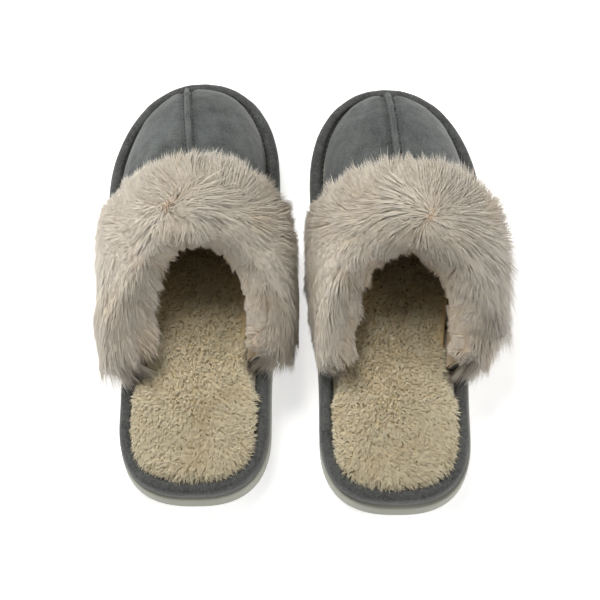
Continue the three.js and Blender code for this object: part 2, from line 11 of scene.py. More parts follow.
import bmesh
import bpy
import numpy as np
from bpy.props import FloatProperty, FloatVectorProperty, IntProperty, PointerProperty
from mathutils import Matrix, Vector

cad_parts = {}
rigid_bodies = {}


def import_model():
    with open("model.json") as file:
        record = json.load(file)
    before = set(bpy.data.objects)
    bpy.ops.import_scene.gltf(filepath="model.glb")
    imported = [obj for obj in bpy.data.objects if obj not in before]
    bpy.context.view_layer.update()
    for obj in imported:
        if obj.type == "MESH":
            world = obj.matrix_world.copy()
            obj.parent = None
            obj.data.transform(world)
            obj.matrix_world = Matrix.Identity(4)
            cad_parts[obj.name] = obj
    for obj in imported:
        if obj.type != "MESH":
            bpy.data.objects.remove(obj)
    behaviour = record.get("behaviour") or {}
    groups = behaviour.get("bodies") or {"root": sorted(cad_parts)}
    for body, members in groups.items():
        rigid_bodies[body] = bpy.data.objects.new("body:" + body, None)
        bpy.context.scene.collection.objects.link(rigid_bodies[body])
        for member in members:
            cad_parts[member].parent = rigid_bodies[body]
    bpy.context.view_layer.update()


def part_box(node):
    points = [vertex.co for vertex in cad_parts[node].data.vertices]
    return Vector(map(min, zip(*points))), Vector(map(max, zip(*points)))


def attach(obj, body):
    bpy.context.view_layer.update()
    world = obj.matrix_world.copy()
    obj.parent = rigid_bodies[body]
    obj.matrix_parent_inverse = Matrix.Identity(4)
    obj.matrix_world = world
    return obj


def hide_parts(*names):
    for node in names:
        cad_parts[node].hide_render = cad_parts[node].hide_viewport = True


bl_info = {
    "name": "Fluffy house slippers",
    "version": (1, 0, 0),
    "blender": (4, 5, 0),
    "location": "3D View > Sidebar > Slippers",
    "description": "Builds a pair of fur-collared house slippers on their CAD frame",
    "category": "Object",
}

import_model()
MM = 0.001

# ------------------------------------------------------------------ sizes of the CAD frame

HALF_LENGTH = 132.5
FOREFOOT_WIDTH, HEEL_WIDTH = 103.5, 85.0
TOE_CAP, HEEL_CAP = 74.5, 44.5
TOE_SQUARENESS, HEEL_SQUARENESS = 2.15, 2.6
BALL_SWING, HEEL_SHIFT = 4.6, 2.0
OUTSOLE_HEIGHT, OUTSOLE_FLARE = 13.0, 1.0
RECESS_WALL, RECESS_DEPTH = 6.0, 1.8
TREAD_DEPTH, GROOVE_WIDTH, GROOVE_PITCH = 2.2, 3.2, 10.5
FOREFOOT_GROOVES, HEEL_GROOVES, SEAT_PAD_Y = 9, 5, -88.0
RIM_Z, RIM_HEIGHT = 13.3, 10.6
BED_Z = 21.3
UPPER_INSET, GROOVE_INSET = 8.4, 7.7
SUEDE = 1.2
FOAM_LAYER, FOAM = 1.5, 2.0
LINING_LAYER, LINING = 3.8, 1.2
TURN_DEPTH = 6.4
WING_END_Y, THROAT_Y = -56.0, 3.0
INSTEP_HEIGHT, WING_TOP_HEIGHT = 71.0, 40.0
UPRIGHT_HALF_WIDTH, SPLAYED_HALF_WIDTH = 34.0, 43.0
WING_BEND = 0.7
COLLAR_PILE, COLLAR_CLEARANCE = 17.5, 0.6
COLLAR_FRONT_Y, COLLAR_SWEEP, COLLAR_FOOT = 44.0, 20.0, 6.5
COLLAR_STITCH_LEVEL = 0.78
RIDGE_WIDTH = 3.4
PLUSH_HEEL_INSET, PLUSH_TOE_INSET = 9.0, 15.0
WING_PHI = math.acos(WING_END_Y / HALF_LENGTH)


# ------------------------------------------------------------------ sizes a user changes


def length_property(name, description, default):
    return FloatProperty(name=name, description=description, default=default, unit="LENGTH")


class SlipperSizes(bpy.types.PropertyGroup):
    fur_length: length_property("Fur length", "Length of the collar's pile", 0.0205)
    fur_width: length_property("Fur lock width", "Width of one lock of fur at its thickest", 0.00038)
    fur_density: FloatProperty(
        name="Fur density", description="Locks of fur per square metre of backing", default=3.2e6
    )
    fur_clump: length_property("Fur clump", "Distance between clumps of fur", 0.009)
    fur_body: FloatProperty(
        name="Collar body", description="Share of the collar's thickness that its backing fills",
        default=0.62, min=0, max=1, subtype="FACTOR",
    )
    plush_length: length_property("Plush length", "Length of the footbed's pile", 0.007)
    plush_width: length_property("Plush curl width", "Width of one curl of plush", 0.0005)
    plush_density: FloatProperty(
        name="Plush density", description="Curls of plush per square metre", default=2.3e6
    )
    stitch_pitch: length_property("Stitch pitch", "Distance from one stitch to the next", 0.0036)
    stitch_width: length_property("Thread width", "Thickness of the thread", 0.0008)
    seed: IntProperty(name="Seed", description="Start of everything random", default=7)


def colour_property(name, description, default):
    return FloatVectorProperty(
        name=name, description=description, default=default, size=3, min=0, max=1, subtype="COLOR"
    )


class SlipperColours(bpy.types.PropertyGroup):
    fur_tip: colour_property("Fur tip", "Outer end of the fur", (0.82, 0.715, 0.565))
    fur_middle: colour_property("Fur middle", "Middle of the fur", (0.8, 0.675, 0.51))
    fur_root: colour_property("Fur root", "Fur next to its backing", (0.72, 0.53, 0.37))
    plush_tip: colour_property("Plush tip", "Outer end of the footbed's pile", (0.89, 0.745, 0.46))
    plush_root: colour_property("Plush root", "Footbed's pile next to its backing", (0.83, 0.67, 0.39))
    suede: colour_property("Suede", "Grey of the upper", (0.098, 0.107, 0.104))
    rim: colour_property("Rim", "Grey of the rim", (0.088, 0.092, 0.088))
    lining: colour_property("Lining", "Beige inside the upper", (0.33, 0.255, 0.16))
    rubber: colour_property("Outsole", "Cream of the moulded sole", (0.38, 0.378, 0.32))
    grey_thread: colour_property("Grey thread", "Thread of rim and ridge", (0.07, 0.074, 0.074))
    cream_thread: colour_property("Cream thread", "Thread inside the collar", (0.42, 0.35, 0.25))
    board: colour_property("Board", "Fibre board in the sole", (0.27, 0.2, 0.11))
    foam: colour_property("Foam", "Foam in sole and upper", (0.6, 0.56, 0.46))


def sizes():
    return bpy.context.scene.slipper_sizes


def colours():
    return bpy.context.scene.slipper_colours


# ------------------------------------------------------------------ plan of the sole


def mix(start, end, share):
    return start + (end - start) * share


def smooth(start, end, value):
    share = np.clip((value - start) / (end - start), 0, 1)
    return share * share * (3 - 2 * share)


def unit(vectors):
    return vectors / np.maximum(np.linalg.norm(vectors, axis=-1, keepdims=True), 1e-9)


def half_width(y):
    flank = mix(HEEL_WIDTH, FOREFOOT_WIDTH, smooth(-0.57, 0.42, y / HALF_LENGTH)) / 2
    toe = np.maximum(0, (y - HALF_LENGTH + TOE_CAP) / TOE_CAP)
    heel = np.maximum(0, (-y - HALF_LENGTH + HEEL_CAP) / HEEL_CAP)
    toe_cap = np.maximum(0, 1 - toe**TOE_SQUARENESS) ** (1 / TOE_SQUARENESS)
    heel_cap = np.maximum(0, 1 - heel**HEEL_SQUARENESS) ** (1 / HEEL_SQUARENESS)
    return flank * toe_cap * heel_cap


def mid_line(y):
    reach = (y / HALF_LENGTH - 0.34) / 0.42
    return HEEL_SHIFT - BALL_SWING * np.exp(-reach * reach)


def edge_point(phi):
    """A point of the sole's edge: phi is 0 at the toe and pi at the heel."""
    y = HALF_LENGTH * np.cos(phi)
    return np.stack([mid_line(y) + np.sign(np.sin(phi)) * half_width(y), y], axis=-1)


def inset_point(phi, inset, z=0.0):
    step = 0.03
    phi, inset, z = np.broadcast_arrays(*np.atleast_1d(phi, inset, z))
    along = unit(edge_point(phi + step) - edge_point(phi - step))
    point = edge_point(phi)
    return np.stack([point[:, 0] + along[:, 1] * inset, point[:, 1] - along[:, 0] * inset, z], axis=-1)


def round_plan(steps):
    return np.arange(steps) / steps * 2 * math.pi


def ripple(points, scale, seed):
    """Smooth noise from -1 to 1 at points, made of a few waves."""
    rng = np.random.default_rng(seed)
    total = np.zeros(points.shape[:-1])
    for _ in range(7):
        wave = rng.normal(size=3) / scale * 2.2
        total += np.sin(points @ wave + rng.uniform(0, 2 * math.pi))
    return total / 3.2


# ------------------------------------------------------------------ surface of the upper


class Upper:
    """The outside of one upper. Across runs from -1 at the outer wing to +1 at the inner
    wing, up from 0 at the foot to 1 at the opening."""

    def __init__(self, seam_turn, throat_shift, splayed):
        self.seam_turn, self.throat_shift, self.splayed = seam_turn, throat_shift, splayed

    def foot(self, across):
        phi = across * WING_PHI + self.seam_turn * (1 - across * across)
        return inset_point(phi.ravel(), UPPER_INSET, BED_Z).reshape(*phi.shape, 3)

    def top_line(self, across):
        side, reach = np.sign(across), np.abs(across)
        width = np.where(side == self.splayed, SPLAYED_HALF_WIDTH, UPRIGHT_HALF_WIDTH)
        wing = self.foot(np.where(side == 0, 1.0, side))
        y = mix(THROAT_Y, wing[..., 1], reach**2.2)
        swing = np.sin(np.minimum(reach, 1) * math.pi / 2)
        x = mid_line(y) + self.throat_shift * (1 - reach) ** 2 + side * width * swing
        return np.stack([x, y, mix(INSTEP_HEIGHT, WING_TOP_HEIGHT, reach**1.8)], axis=-1)

    def bend(self, across):
        return mix(math.pi / 2, WING_BEND, smooth(0.15, 0.9, np.abs(across)))

    def surface(self, across, up):
        foot, top, bend = self.foot(across), self.top_line(across), self.bend(across)
        over = (1 - np.cos(up * bend)) / (1 - np.cos(bend))
        rise = np.sin(up * bend) / np.sin(bend)
        share = np.stack([over, over, rise], axis=-1)
        return foot + (top - foot) * share

    def axes(self, across, up):
        """Unit vectors along the collar, up towards the opening, and out."""
        step = 0.01
        side = self.surface(across + step, up) - self.surface(across - step, up)
        climb = self.surface(across, up + step) - self.surface(across, up - step)
        out = unit(np.cross(climb, side))
        side = unit(side)
        return side, np.cross(side, out), out

    def point(self, across, up, out=0.0, beyond=0.0, aside=0.0):
        across, up, out, beyond, aside = np.broadcast_arrays(
            *[np.asarray(v, float) for v in (across, up, out, beyond, aside)]
        )
        side, rise, outward = self.axes(across, up)
        return (
            self.surface(across, up)
            + outward * out[..., None]
            + rise * beyond[..., None]
            + side * aside[..., None]
        )

    def collar_edge(self, across):
        """How far up the collar's lower edge crosses the upper."""
        foot, top, bend = self.foot(across), self.top_line(across), self.bend(across)
        low = np.arcsin(COLLAR_FOOT / (top[..., 2] - foot[..., 2]) * np.sin(bend)) / bend
        front = COLLAR_FRONT_Y - COLLAR_SWEEP * across * across
        share = np.maximum(0, (foot[..., 1] - front) / (foot[..., 1] - top[..., 1]))
        return np.maximum(low, np.arccos(np.clip(1 - share * (1 - np.cos(bend)), -1, 1)) / bend)


class Slipper:
    """One slipper: its name, its shape and its place in the shared frame."""

    def __init__(self, name, mirror, upper, sole_shift, fullness):
        self.name, self.mirror, self.upper, self.sole_shift = name, mirror, upper, np.array(sole_shift)
        self.fullness = fullness
        self.body = f"{name}_slipper"
        outline = inset_point(round_plan(48), -0.1)
        low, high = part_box(self.node("rim_wrap"))
        middle = (outline.min(axis=0) + outline.max(axis=0)) / 2
        centre = (low + high) / 2 / MM
        self.place = np.array([centre.x - mirror * middle[0], centre.y - middle[1], 0.0])

    def node(self, part):
        return f"{self.name}_{part}"

    def placed(self, points):
        """Local millimetres to metres in the shared frame."""
        return (np.asarray(points) * [self.mirror, 1, 1] + self.place) * MM

    def turned(self, vectors):
        return np.asarray(vectors) * [self.mirror, 1, 1]


FULLNESS_STATIONS = (-1.0, -0.8, -0.5, 0.0, 0.5, 0.8, 1.0)
SLIPPERS = [
    Slipper("left", 1, Upper(-0.15, 5.0, 1), (0.3, -0.8, 0.0),
            (1.5, 1.2, 0.65, 1.0, 0.75, 1.15, 1.15)),
    Slipper("right", -1, Upper(0.0, -3.0, -1), (-1.0, -1.6, 0.0),
            (1.1, 1.34, 1.1, 1.0, 0.8, 0.8, 0.75)),
]


# ------------------------------------------------------------------ mesh making


def grid_faces(rows, columns, wrap_columns=False, start=0):
    """Quads of a grid whose points are numbered row by row."""
    faces = []
    for r in range(rows - 1):
        for c in range(columns if wrap_columns else columns - 1):
            d = (c + 1) % columns
            faces.append((start + r * columns + c, start + r * columns + d,
                          start + (r + 1) * columns + d, start + (r + 1) * columns + c))
    return faces


def linked(name, data):
    """A new object of that data, in the scene."""
    thing = bpy.data.objects.new(name, data)
    bpy.context.scene.collection.objects.link(thing)
    return thing


def new_object(name, points, faces, material, sharp=None):
    """A closed body from points in metres, its faces turned outwards."""
    mesh = bpy.data.meshes.new(name)
    mesh.from_pydata([tuple(p) for p in points], [], faces)
    made = bmesh.new()
    made.from_mesh(mesh)
    bmesh.ops.remove_doubles(made, verts=made.verts, dist=2e-6)
    bmesh.ops.recalc_face_normals(made, faces=made.faces)
    made.to_mesh(mesh)
    made.free()
    mesh.polygons.foreach_set("use_smooth", [True] * len(mesh.polygons))
    if sharp is not None:
        mesh.set_sharp_from_angle(angle=sharp)
    mesh.materials.append(material)
    return linked(name, mesh)


def settle(thing, slipper, *parts, slot=None):
    """Attaches a finished piece to the body it rides on and hides the CAD parts it stands for."""
    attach(thing, slipper.body)
    if parts:
        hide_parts(*[slipper.node(part) for part in parts])
    return thing


def make_piece(slipper, name, body, material, part, slot, sharp=None):
    """A finished piece of one slipper from its points, in local millimetres, and faces."""
    points, faces = body
    if sharp is not None:
        sharp = math.radians(sharp)
    thing = new_object(slipper.node(name), slipper.placed(points), faces, material_of(material), sharp)
    return settle(thing, slipper, part, slot=slot)


def rounded(control, samples, closed=False):
    """A smooth curve through control points, which lie along the first axis."""
    count = len(control)
    spans = count if closed else count - 1
    where = np.linspace(0, spans, samples, endpoint=not closed)
    index = np.minimum(where.astype(int), spans - 1)
    share = (where - index).reshape(-1, *[1] * (control.ndim - 1))

    def at(k):
        return control[k % count] if closed else control[np.clip(k, 0, count - 1)]

    a, b, c, d = at(index - 1), at(index), at(index + 1), at(index + 2)
    return 0.5 * (
        2 * b + (c - a) * share + (2 * a - 5 * b + 4 * c - d) * share**2 + (3 * b - a - 3 * c + d) * share**3
    )


def slab(outer, inner):
    """Points and faces of the body between two grids of the same size."""
    rows, columns = outer.shape[:2]
    points = np.concatenate([outer.reshape(-1, 3), inner.reshape(-1, 3)])
    back = rows * columns
    faces = grid_faces(rows, columns) + [f[::-1] for f in grid_faces(rows, columns, start=back)]
    border = list(range(columns))
    border += [r * columns + columns - 1 for r in range(1, rows)]
    border += [(rows - 1) * columns + c for c in range(columns - 2, -1, -1)]
    border += [r * columns for r in range(rows - 2, 0, -1)]
    for here, there in zip(border, border[1:] + border[:1]):
        faces.append((here, there, there + back, here + back))
    return points, faces


# ------------------------------------------------------------------ node helpers


class Wiring:
    """Short ways to add and join the nodes of one tree."""

    def __init__(self, tree):
        self.tree = tree

    def socket(self, sockets, key):
        if isinstance(key, int):
            return sockets[key]
        return next(s for s in sockets if s.enabled and s.name == key)

    def add(self, kind, inputs=None, **settings):
        node = self.tree.nodes.new(kind)
        for key, value in settings.items():
            setattr(node, key, value)
        for key, value in (inputs or {}).items():
            self.feed(self.socket(node.inputs, key), value)
        return node

    def feed(self, socket, value):
        if isinstance(value, bpy.types.NodeSocket):
            self.tree.links.new(value, socket)
        elif isinstance(value, bpy.types.Node):
            self.tree.links.new(self.first(value), socket)
        else:
            socket.default_value = value

    def first(self, node):
        return next(s for s in node.outputs if s.enabled)

    def sum(self, operation, *values):
        return self.first(self.add("ShaderNodeMath", dict(enumerate(values)), operation=operation))

    def times(self, *values):
        return self.sum("MULTIPLY", *values)

    def less(self, *values):
        return self.sum("SUBTRACT", *values)

    def line(self, value, slope, start):
        return self.sum("MULTIPLY_ADD", value, slope, start)

    def noise(self, vector, scale, detail, **more):
        inputs = {"Vector": vector, "Scale": scale, "Detail": detail, **more}
        return self.first(self.add("ShaderNodeTexNoise", inputs))

    def vector(self, operation, *values, **named):
        node = self.add("ShaderNodeVectorMath", dict(enumerate(values)), operation=operation)
        for key, value in named.items():
            self.feed(self.socket(node.inputs, key), value)
        return self.first(node)

    def scaled(self, vector, scale):
        return self.vector("SCALE", vector, Scale=scale)

    def plus(self, *vectors):
        total = vectors[0]
        for more in vectors[1:]:
            total = self.vector("ADD", total, more)
        return total

    def attribute(self, name, kind="FLOAT"):
        return self.first(self.add("GeometryNodeInputNamedAttribute", {"Name": name}, data_type=kind))

    def store(self, geometry, name, value, kind="FLOAT", domain="POINT"):
        return self.first(self.add(
            "GeometryNodeStoreNamedAttribute", {"Geometry": geometry, "Name": name, "Value": value},
            data_type=kind, domain=domain,
        ))

    def parts(self, vector):
        node = self.add("ShaderNodeSeparateXYZ", {0: vector})
        return node.outputs[0], node.outputs[1], node.outputs[2]

    def joined(self, x, y, z):
        return self.first(self.add("ShaderNodeCombineXYZ", {0: x, 1: y, 2: z}))


def geometry_tree(name, inputs):
    """An empty geometry tree with named inputs; gives the wiring and the inputs' sockets."""
    tree = bpy.data.node_groups.new(name, "GeometryNodeTree")
    tree.interface.new_socket("Geometry", in_out="INPUT", socket_type="NodeSocketGeometry")
    tree.interface.new_socket("Geometry", in_out="OUTPUT", socket_type="NodeSocketGeometry")
    for label, kind, default in inputs:
        socket = tree.interface.new_socket(label, in_out="INPUT", socket_type=f"NodeSocket{kind}")
        if default is not None:
            socket.default_value = default
    wiring = Wiring(tree)
    entry = tree.nodes.new("NodeGroupInput")
    return wiring, {s.name: s for s in entry.outputs if s.name}


def close_tree(wiring, geometry, material):
    """Ends a tree in Realize Instances and Set Material."""
    real = wiring.add("GeometryNodeRealizeInstances", {"Geometry": geometry})
    soft = wiring.add("GeometryNodeSetShadeSmooth", {0: wiring.first(real)})
    done = wiring.add("GeometryNodeSetMaterial", {"Geometry": wiring.first(soft), "Material": material})
    leave = wiring.tree.nodes.new("NodeGroupOutput")
    wiring.feed(leave.inputs[0], wiring.first(done))


# What the trees leave on a mesh besides its own chart.
SCRATCH_ATTRIBUTES = (
    "lie", "up", "pile", "growth", "part", "root", "chance", "along", "around", "shade", "normal",
)


def soften_normals(mesh, share):
    """Turns the strands' shading towards the way their backing faces, as fine hair does."""
    up = np.zeros(len(mesh.vertices) * 3, np.float32)
    mesh.attributes["up"].data.foreach_get("vector", up)
    own = np.zeros(len(mesh.vertices) * 3, np.float32)
    mesh.vertex_normals.foreach_get("vector", own)
    mixed = unit(mix(own.reshape(-1, 3), up.reshape(-1, 3), share))
    mesh.normals_split_custom_set_from_vertices([tuple(n) for n in mixed])


def grown(name, base, tree, values, soften=0.0):
    """The mesh that a tree makes from a base object, as a new plain object."""
    modifier = base.modifiers.new(name, "NODES")
    modifier.node_group = tree
    for item in tree.interface.items_tree:
        if item.item_type == "SOCKET" and item.in_out == "INPUT" and item.name in values:
            modifier[item.identifier] = values[item.name]
    base.update_tag()
    evaluated = base.evaluated_get(bpy.context.evaluated_depsgraph_get())
    mesh = bpy.data.meshes.new_from_object(evaluated)
    base.modifiers.remove(modifier)
    mesh.name = name
    if soften:
        soften_normals(mesh, soften)
    for extra in [a.name for a in mesh.attributes if a.name in SCRATCH_ATTRIBUTES]:
        mesh.attributes.remove(mesh.attributes[extra])
    return linked(name, mesh)


# ------------------------------------------------------------------ pile


GIVE = 0.92  # share of its way into the other slipper that fur is pushed back


def pile_tree():
    """Strands on a backing mesh: each a closed three-sided strand, bent towards the way
    the pile lies, drawn into clumps, and coloured by its own place in a small chart."""
    w, given = geometry_tree("Pile", [
        ("Part", "Int", 0),
        ("Strands per area", "Float", 1e6),
        ("Length", "Float", 1.0),
        ("Width", "Float", 0.0005),
        ("Lift", "Float", 0.4),
        ("Droop", "Float", 0.1),
        ("Stray", "Float", 0.35),
        ("Clump size", "Float", 0.009),
        ("Clump pull", "Float", 0.5),
        ("Tuft size", "Float", 0.003),
        ("Tuft pull", "Float", 0.4),
        ("Wave", "Float", 0.0004),
        ("Turns", "Float", 6.0),
        ("Neighbour plane", "Float", 0.0),
        ("Neighbour side", "Float", 0.0),
        ("Seed", "Int", 0),
        ("Material", "Material", None),
    ])
    here = w.add("FunctionNodeCompare", {"A": w.attribute("part", "INT"), "B": given["Part"]},
                 data_type="INT", operation="EQUAL")
    spread = w.add("GeometryNodeDistributePointsOnFaces", {
        "Mesh": given["Geometry"], "Selection": here, "Seed": given["Seed"],
        "Density": w.times(given["Strands per area"], w.attribute("growth")),
    }, distribute_method="RANDOM")
    points = w.store(w.first(spread), "root", w.add("GeometryNodeInputPosition"), "FLOAT_VECTOR")
    chance = w.add("FunctionNodeRandomValue", {"Seed": given["Seed"]}, data_type="FLOAT_VECTOR")
    points = w.store(points, "chance", w.first(chance), "FLOAT_VECTOR")

    cone = w.add("GeometryNodeMeshCone", {
        "Vertices": 3, "Side Segments": 2, "Fill Segments": 1,
        "Radius Top": 0.0, "Radius Bottom": 1.0, "Depth": 1.0,
    }, fill_type="NGON")
    x, y, z = w.parts(w.first(w.add("GeometryNodeInputPosition")))
    strand = w.store(w.first(cone), "along", z)
    strand = w.store(strand, "around", w.vector("NORMALIZE", w.joined(x, y, 0.0)), "FLOAT_VECTOR")
    placed = w.add("GeometryNodeInstanceOnPoints", {"Points": points, "Instance": strand})
    real = w.first(w.add("GeometryNodeRealizeInstances", {"Geometry": w.first(placed)}))

    root, up = w.attribute("root", "FLOAT_VECTOR"), w.attribute("up", "FLOAT_VECTOR")
    along, around = w.attribute("along"), w.attribute("around", "FLOAT_VECTOR")
    dice = w.attribute("chance", "FLOAT_VECTOR")
    first, second, third = w.parts(dice)
    stray = w.scaled(w.vector("SUBTRACT", dice, (0.5, 0.5, 0.5)), given["Stray"])
    lie = w.plus(w.attribute("lie", "FLOAT_VECTOR"), stray)
    reach = w.vector("LENGTH", lie)
    length = w.times(w.times(given["Length"], w.attribute("pile")),
                   w.line(first, 0.5, 0.72))
    rest = w.less(1.0, along)
    rise = w.less(1.0, w.times(rest, rest))
    square = w.times(along, along)
    lift = w.times(given["Lift"], w.less(1.5, w.times(reach, 0.5)))
    run = w.line(square, 0.55, w.times(along, 0.4))
    curve = w.plus(
        w.scaled(up, w.times(length, w.times(lift, rise))),
        w.scaled(lie, w.times(length, run)),
        w.scaled((0.0, 0.0, -1.0), w.times(w.times(length, given["Droop"]), square)),
    )

    def drawn(size, pull, power, share):
        """Pull towards the middle of the cell that the root lies in."""
        cell = w.add("ShaderNodeTexVoronoi", {
            "Vector": w.scaled(root, w.sum("DIVIDE", 1.0, size)), "Scale": 1.0, "Randomness": 1.0,
        })
        middle = w.scaled(w.socket(cell.outputs, "Position"), size)
        amount = w.times(w.times(pull, w.sum("POWER", along, power)),
                       w.line(share, 0.8, 0.6))
        return w.scaled(w.vector("SUBTRACT", middle, root), amount)

    clump = drawn(given["Clump size"], given["Clump pull"], 1.5, second)
    tuft = drawn(given["Tuft size"], given["Tuft pull"], 1.2, third)
    aside = w.vector("NORMALIZE", w.vector("CROSS_PRODUCT", up, lie))
    angle = w.line(along, given["Turns"], w.times(third, 6.283))
    swing = w.times(w.times(given["Wave"], along), w.sum("SINE", angle))
    nod = w.times(w.times(given["Wave"], along), w.sum("COSINE", angle))
    middle = w.plus(root, curve, clump, tuft, w.scaled(aside, swing), w.scaled(up, nod))

    mx, my, mz = w.parts(middle)
    past = w.sum("MAXIMUM", w.times(w.less(mx, given["Neighbour plane"]),
                                  given["Neighbour side"]), 0.0)
    held = w.less(mx, w.times(w.times(past, given["Neighbour side"]), GIVE))
    middle = w.joined(held, my, w.sum("MAXIMUM", mz, w.line(third, 0.006, 0.003)))

    heading = w.vector("NORMALIZE", w.plus(w.scaled(up, lift), w.scaled(lie, 0.7)))
    across = w.vector("CROSS_PRODUCT", heading, aside)
    full = w.times(given["Width"], w.line(second, 0.5, 0.3))
    girth = w.times(full, w.less(w.line(along, 0.9, 0.75),
                                         w.times(square, 1.1)))
    ax, ay, _ = w.parts(around)
    position = w.plus(middle, w.scaled(w.plus(w.scaled(aside, ax), w.scaled(across, ay)), girth))
    moved = w.first(w.add("GeometryNodeSetPosition", {"Geometry": real, "Position": position}))

    patch = w.noise(root, 55.0, 2.0)
    # tone: the backing's shade attribute, which carries painted shade, plus random patches and a little
    # chance per strand
    tone = w.sum("ADD", w.attribute("shade"), w.line(patch, 1.1, -0.55))
    tone = w.sum("ADD", tone, w.line(first, 0.1, -0.05))
    tone = w.first(w.add("ShaderNodeClamp", {0: tone, 1: 0.02, 2: 0.98}))
    chart = w.joined(w.line(ax, 0.002, tone), w.line(along, 0.94, 0.03), 0.0)
    moved = w.store(moved, "OFBake", chart, "FLOAT2", "CORNER")
    close_tree(w, moved, given["Material"])
    return w.tree


def backing(name, points, faces, attributes, material):
    """The backing that pile grows on, with what the pile tree reads on its points."""
    mesh = bpy.data.meshes.new(name)
    mesh.from_pydata([tuple(p) for p in points], [], faces)
    for label, kind, domain, values in attributes:
        layer = mesh.attributes.new(label, kind, domain)
        key = "vector" if kind == "FLOAT_VECTOR" else "value"
        layer.data.foreach_set(key, np.asarray(values).ravel())
    mesh.polygons.foreach_set("use_smooth", [True] * len(mesh.polygons))
    mesh.materials.append(material)
    return linked(name, mesh)


# ------------------------------------------------------------------ materials


def shader_group(name, inputs, outputs):
    tree = bpy.data.node_groups.new(name, "ShaderNodeTree")
    for label, kind, default in inputs:
        socket = tree.interface.new_socket(label, in_out="INPUT", socket_type=f"NodeSocket{kind}")
        socket.default_value = default
    for label, kind in outputs:
        tree.interface.new_socket(label, in_out="OUTPUT", socket_type=f"NodeSocket{kind}")
    entry = tree.nodes.new("NodeGroupInput")
    leave = tree.nodes.new("NodeGroupOutput")
    return Wiring(tree), {s.name: s for s in entry.outputs if s.name}, leave


def group(name, build):
    return bpy.data.node_groups.get(name) or build(name)


def build_nap(name):
    """Brushed nap: soft patches where it lies another way, and fine grain."""
    w, given, leave = shader_group(
        name,
        [("Patch scale", "Float", 60.0), ("Grain scale", "Float", 1800.0),
         ("Patch strength", "Float", 0.25), ("Grain strength", "Float", 0.25)],
        [("Shade", "Float"), ("Height", "Float")],
    )
    place = w.add("ShaderNodeTexCoord").outputs["Object"]
    broad = w.noise(place, given["Patch scale"], 3.0, Distortion=1.2)
    streak = w.noise(w.vector("MULTIPLY", place, (1.0, 0.35, 1.0)), w.times(given["Patch scale"], 5.0), 3.0)
    grain = w.noise(place, given["Grain scale"], 2.0)
    patches = w.times(w.less(w.line(streak, 0.4, broad), 0.7),
                    given["Patch strength"])
    specks = w.times(w.less(grain, 0.5), given["Grain strength"])
    shade = w.sum("ADD", 1.0, w.sum("ADD", patches, specks))
    w.feed(leave.inputs["Shade"], shade)
    w.feed(leave.inputs["Height"], w.line(broad, 0.5, grain))
    return w.tree


def build_strand_colour(name):
    """Colour along a strand and from strand to strand, from its own chart."""
    w, given, leave = shader_group(
        name,
        [("Root", "Color", (0.3, 0.2, 0.1, 1)), ("Middle", "Color", (0.5, 0.4, 0.3, 1)),
         ("Tip", "Color", (0.8, 0.7, 0.6, 1)), ("Spread", "Float", 0.2), ("Middle place", "Float", 0.4)],
        [("Color", "Color")],
    )
    chart = w.add("ShaderNodeUVMap", uv_map="OFBake")
    tone, along, _ = w.parts(w.first(chart))
    low = w.first(w.add("ShaderNodeMapRange", {0: along, 1: 0.0, 2: given["Middle place"], 3: 0.0, 4: 1.0}))
    high = w.first(w.add("ShaderNodeMapRange", {0: along, 1: given["Middle place"], 2: 0.95, 3: 0.0, 4: 1.0}))
    base = w.add("ShaderNodeMix", {"Factor": low, "A": given["Root"], "B": given["Middle"]}, data_type="RGBA")
    full = w.add("ShaderNodeMix", {"Factor": high, "A": w.first(base), "B": given["Tip"]}, data_type="RGBA")
    # Tone below 0.5 darkens and warms the strand; low tone comes partly from random patches and partly from
    # painted shade on the backing
    shade = w.line(w.less(tone, 0.5), given["Spread"], 1.0)
    warmth = w.sum("MAXIMUM", w.less(0.55, tone), 0.0)
    tint = w.joined(shade, w.times(shade, w.less(1.0, w.times(warmth, 0.3))),
                    w.times(shade, w.less(1.0, w.times(warmth, 0.6))))
    w.feed(leave.inputs["Color"], w.vector("MULTIPLY", w.first(full), tint))
    return w.tree


def build_moulding(name):
    """Moulded skin: faint mottling, a little darker in its lowest 4 mm."""
    w, given, leave = shader_group(
        name,
        [("Mottle scale", "Float", 90.0), ("Pore scale", "Float", 1500.0)],
        [("Shade", "Float"), ("Height", "Float")],
    )
    place = w.add("ShaderNodeTexCoord").outputs["Object"]
    broad = w.noise(place, given["Mottle scale"], 4.0)
    pores = w.noise(place, given["Pore scale"], 1.0)
    _, _, height = w.parts(place)
    # Up to a tenth darker in the lowest 4 mm of the object.
    darker_low = w.first(w.add("ShaderNodeMapRange", {0: height, 1: 0.0, 2: 0.004, 3: 0.9, 4: 1.0}))
    shade = w.times(darker_low, w.line(broad, 0.16, 0.92))
    w.feed(leave.inputs["Shade"], shade)
    w.feed(leave.inputs["Height"], w.line(broad, 0.4, pores))
    return w.tree


def new_material(name, settings):
    """A material with one Principled surface, its steady inputs set."""
    material = bpy.data.materials.new(name)
    material.use_nodes = True
    material.node_tree.nodes.clear()
    w = Wiring(material.node_tree)
    surface = w.add("ShaderNodeBsdfPrincipled", settings)
    leave = w.add("ShaderNodeOutputMaterial")
    w.feed(leave.inputs["Surface"], surface.outputs[0])
    return material, w, surface


def shaded_colour(w, colour, shade):
    return w.vector("MULTIPLY", tuple(colour), w.joined(shade, shade, shade))


def napped_material(name, colour, patch, grain, bump, sheen, patch_strength=0.3, grain_strength=0.3):
    material, w, surface = new_material(name, {
        "Roughness": 0.92, "Specular IOR Level": 0.2, "Sheen Weight": sheen, "Sheen Roughness": 0.45,
    })
    nap = w.add("ShaderNodeGroup", {
        "Patch scale": patch, "Grain scale": grain,
        "Patch strength": patch_strength, "Grain strength": grain_strength,
    }, node_tree=group("Nap", build_nap))
    w.feed(surface.inputs["Base Color"], shaded_colour(w, colour, nap.outputs["Shade"]))
    bumped = w.add("ShaderNodeBump", {"Height": nap.outputs["Height"], "Strength": bump, "Distance": 0.0004})
    w.feed(surface.inputs["Normal"], w.first(bumped))
    return material


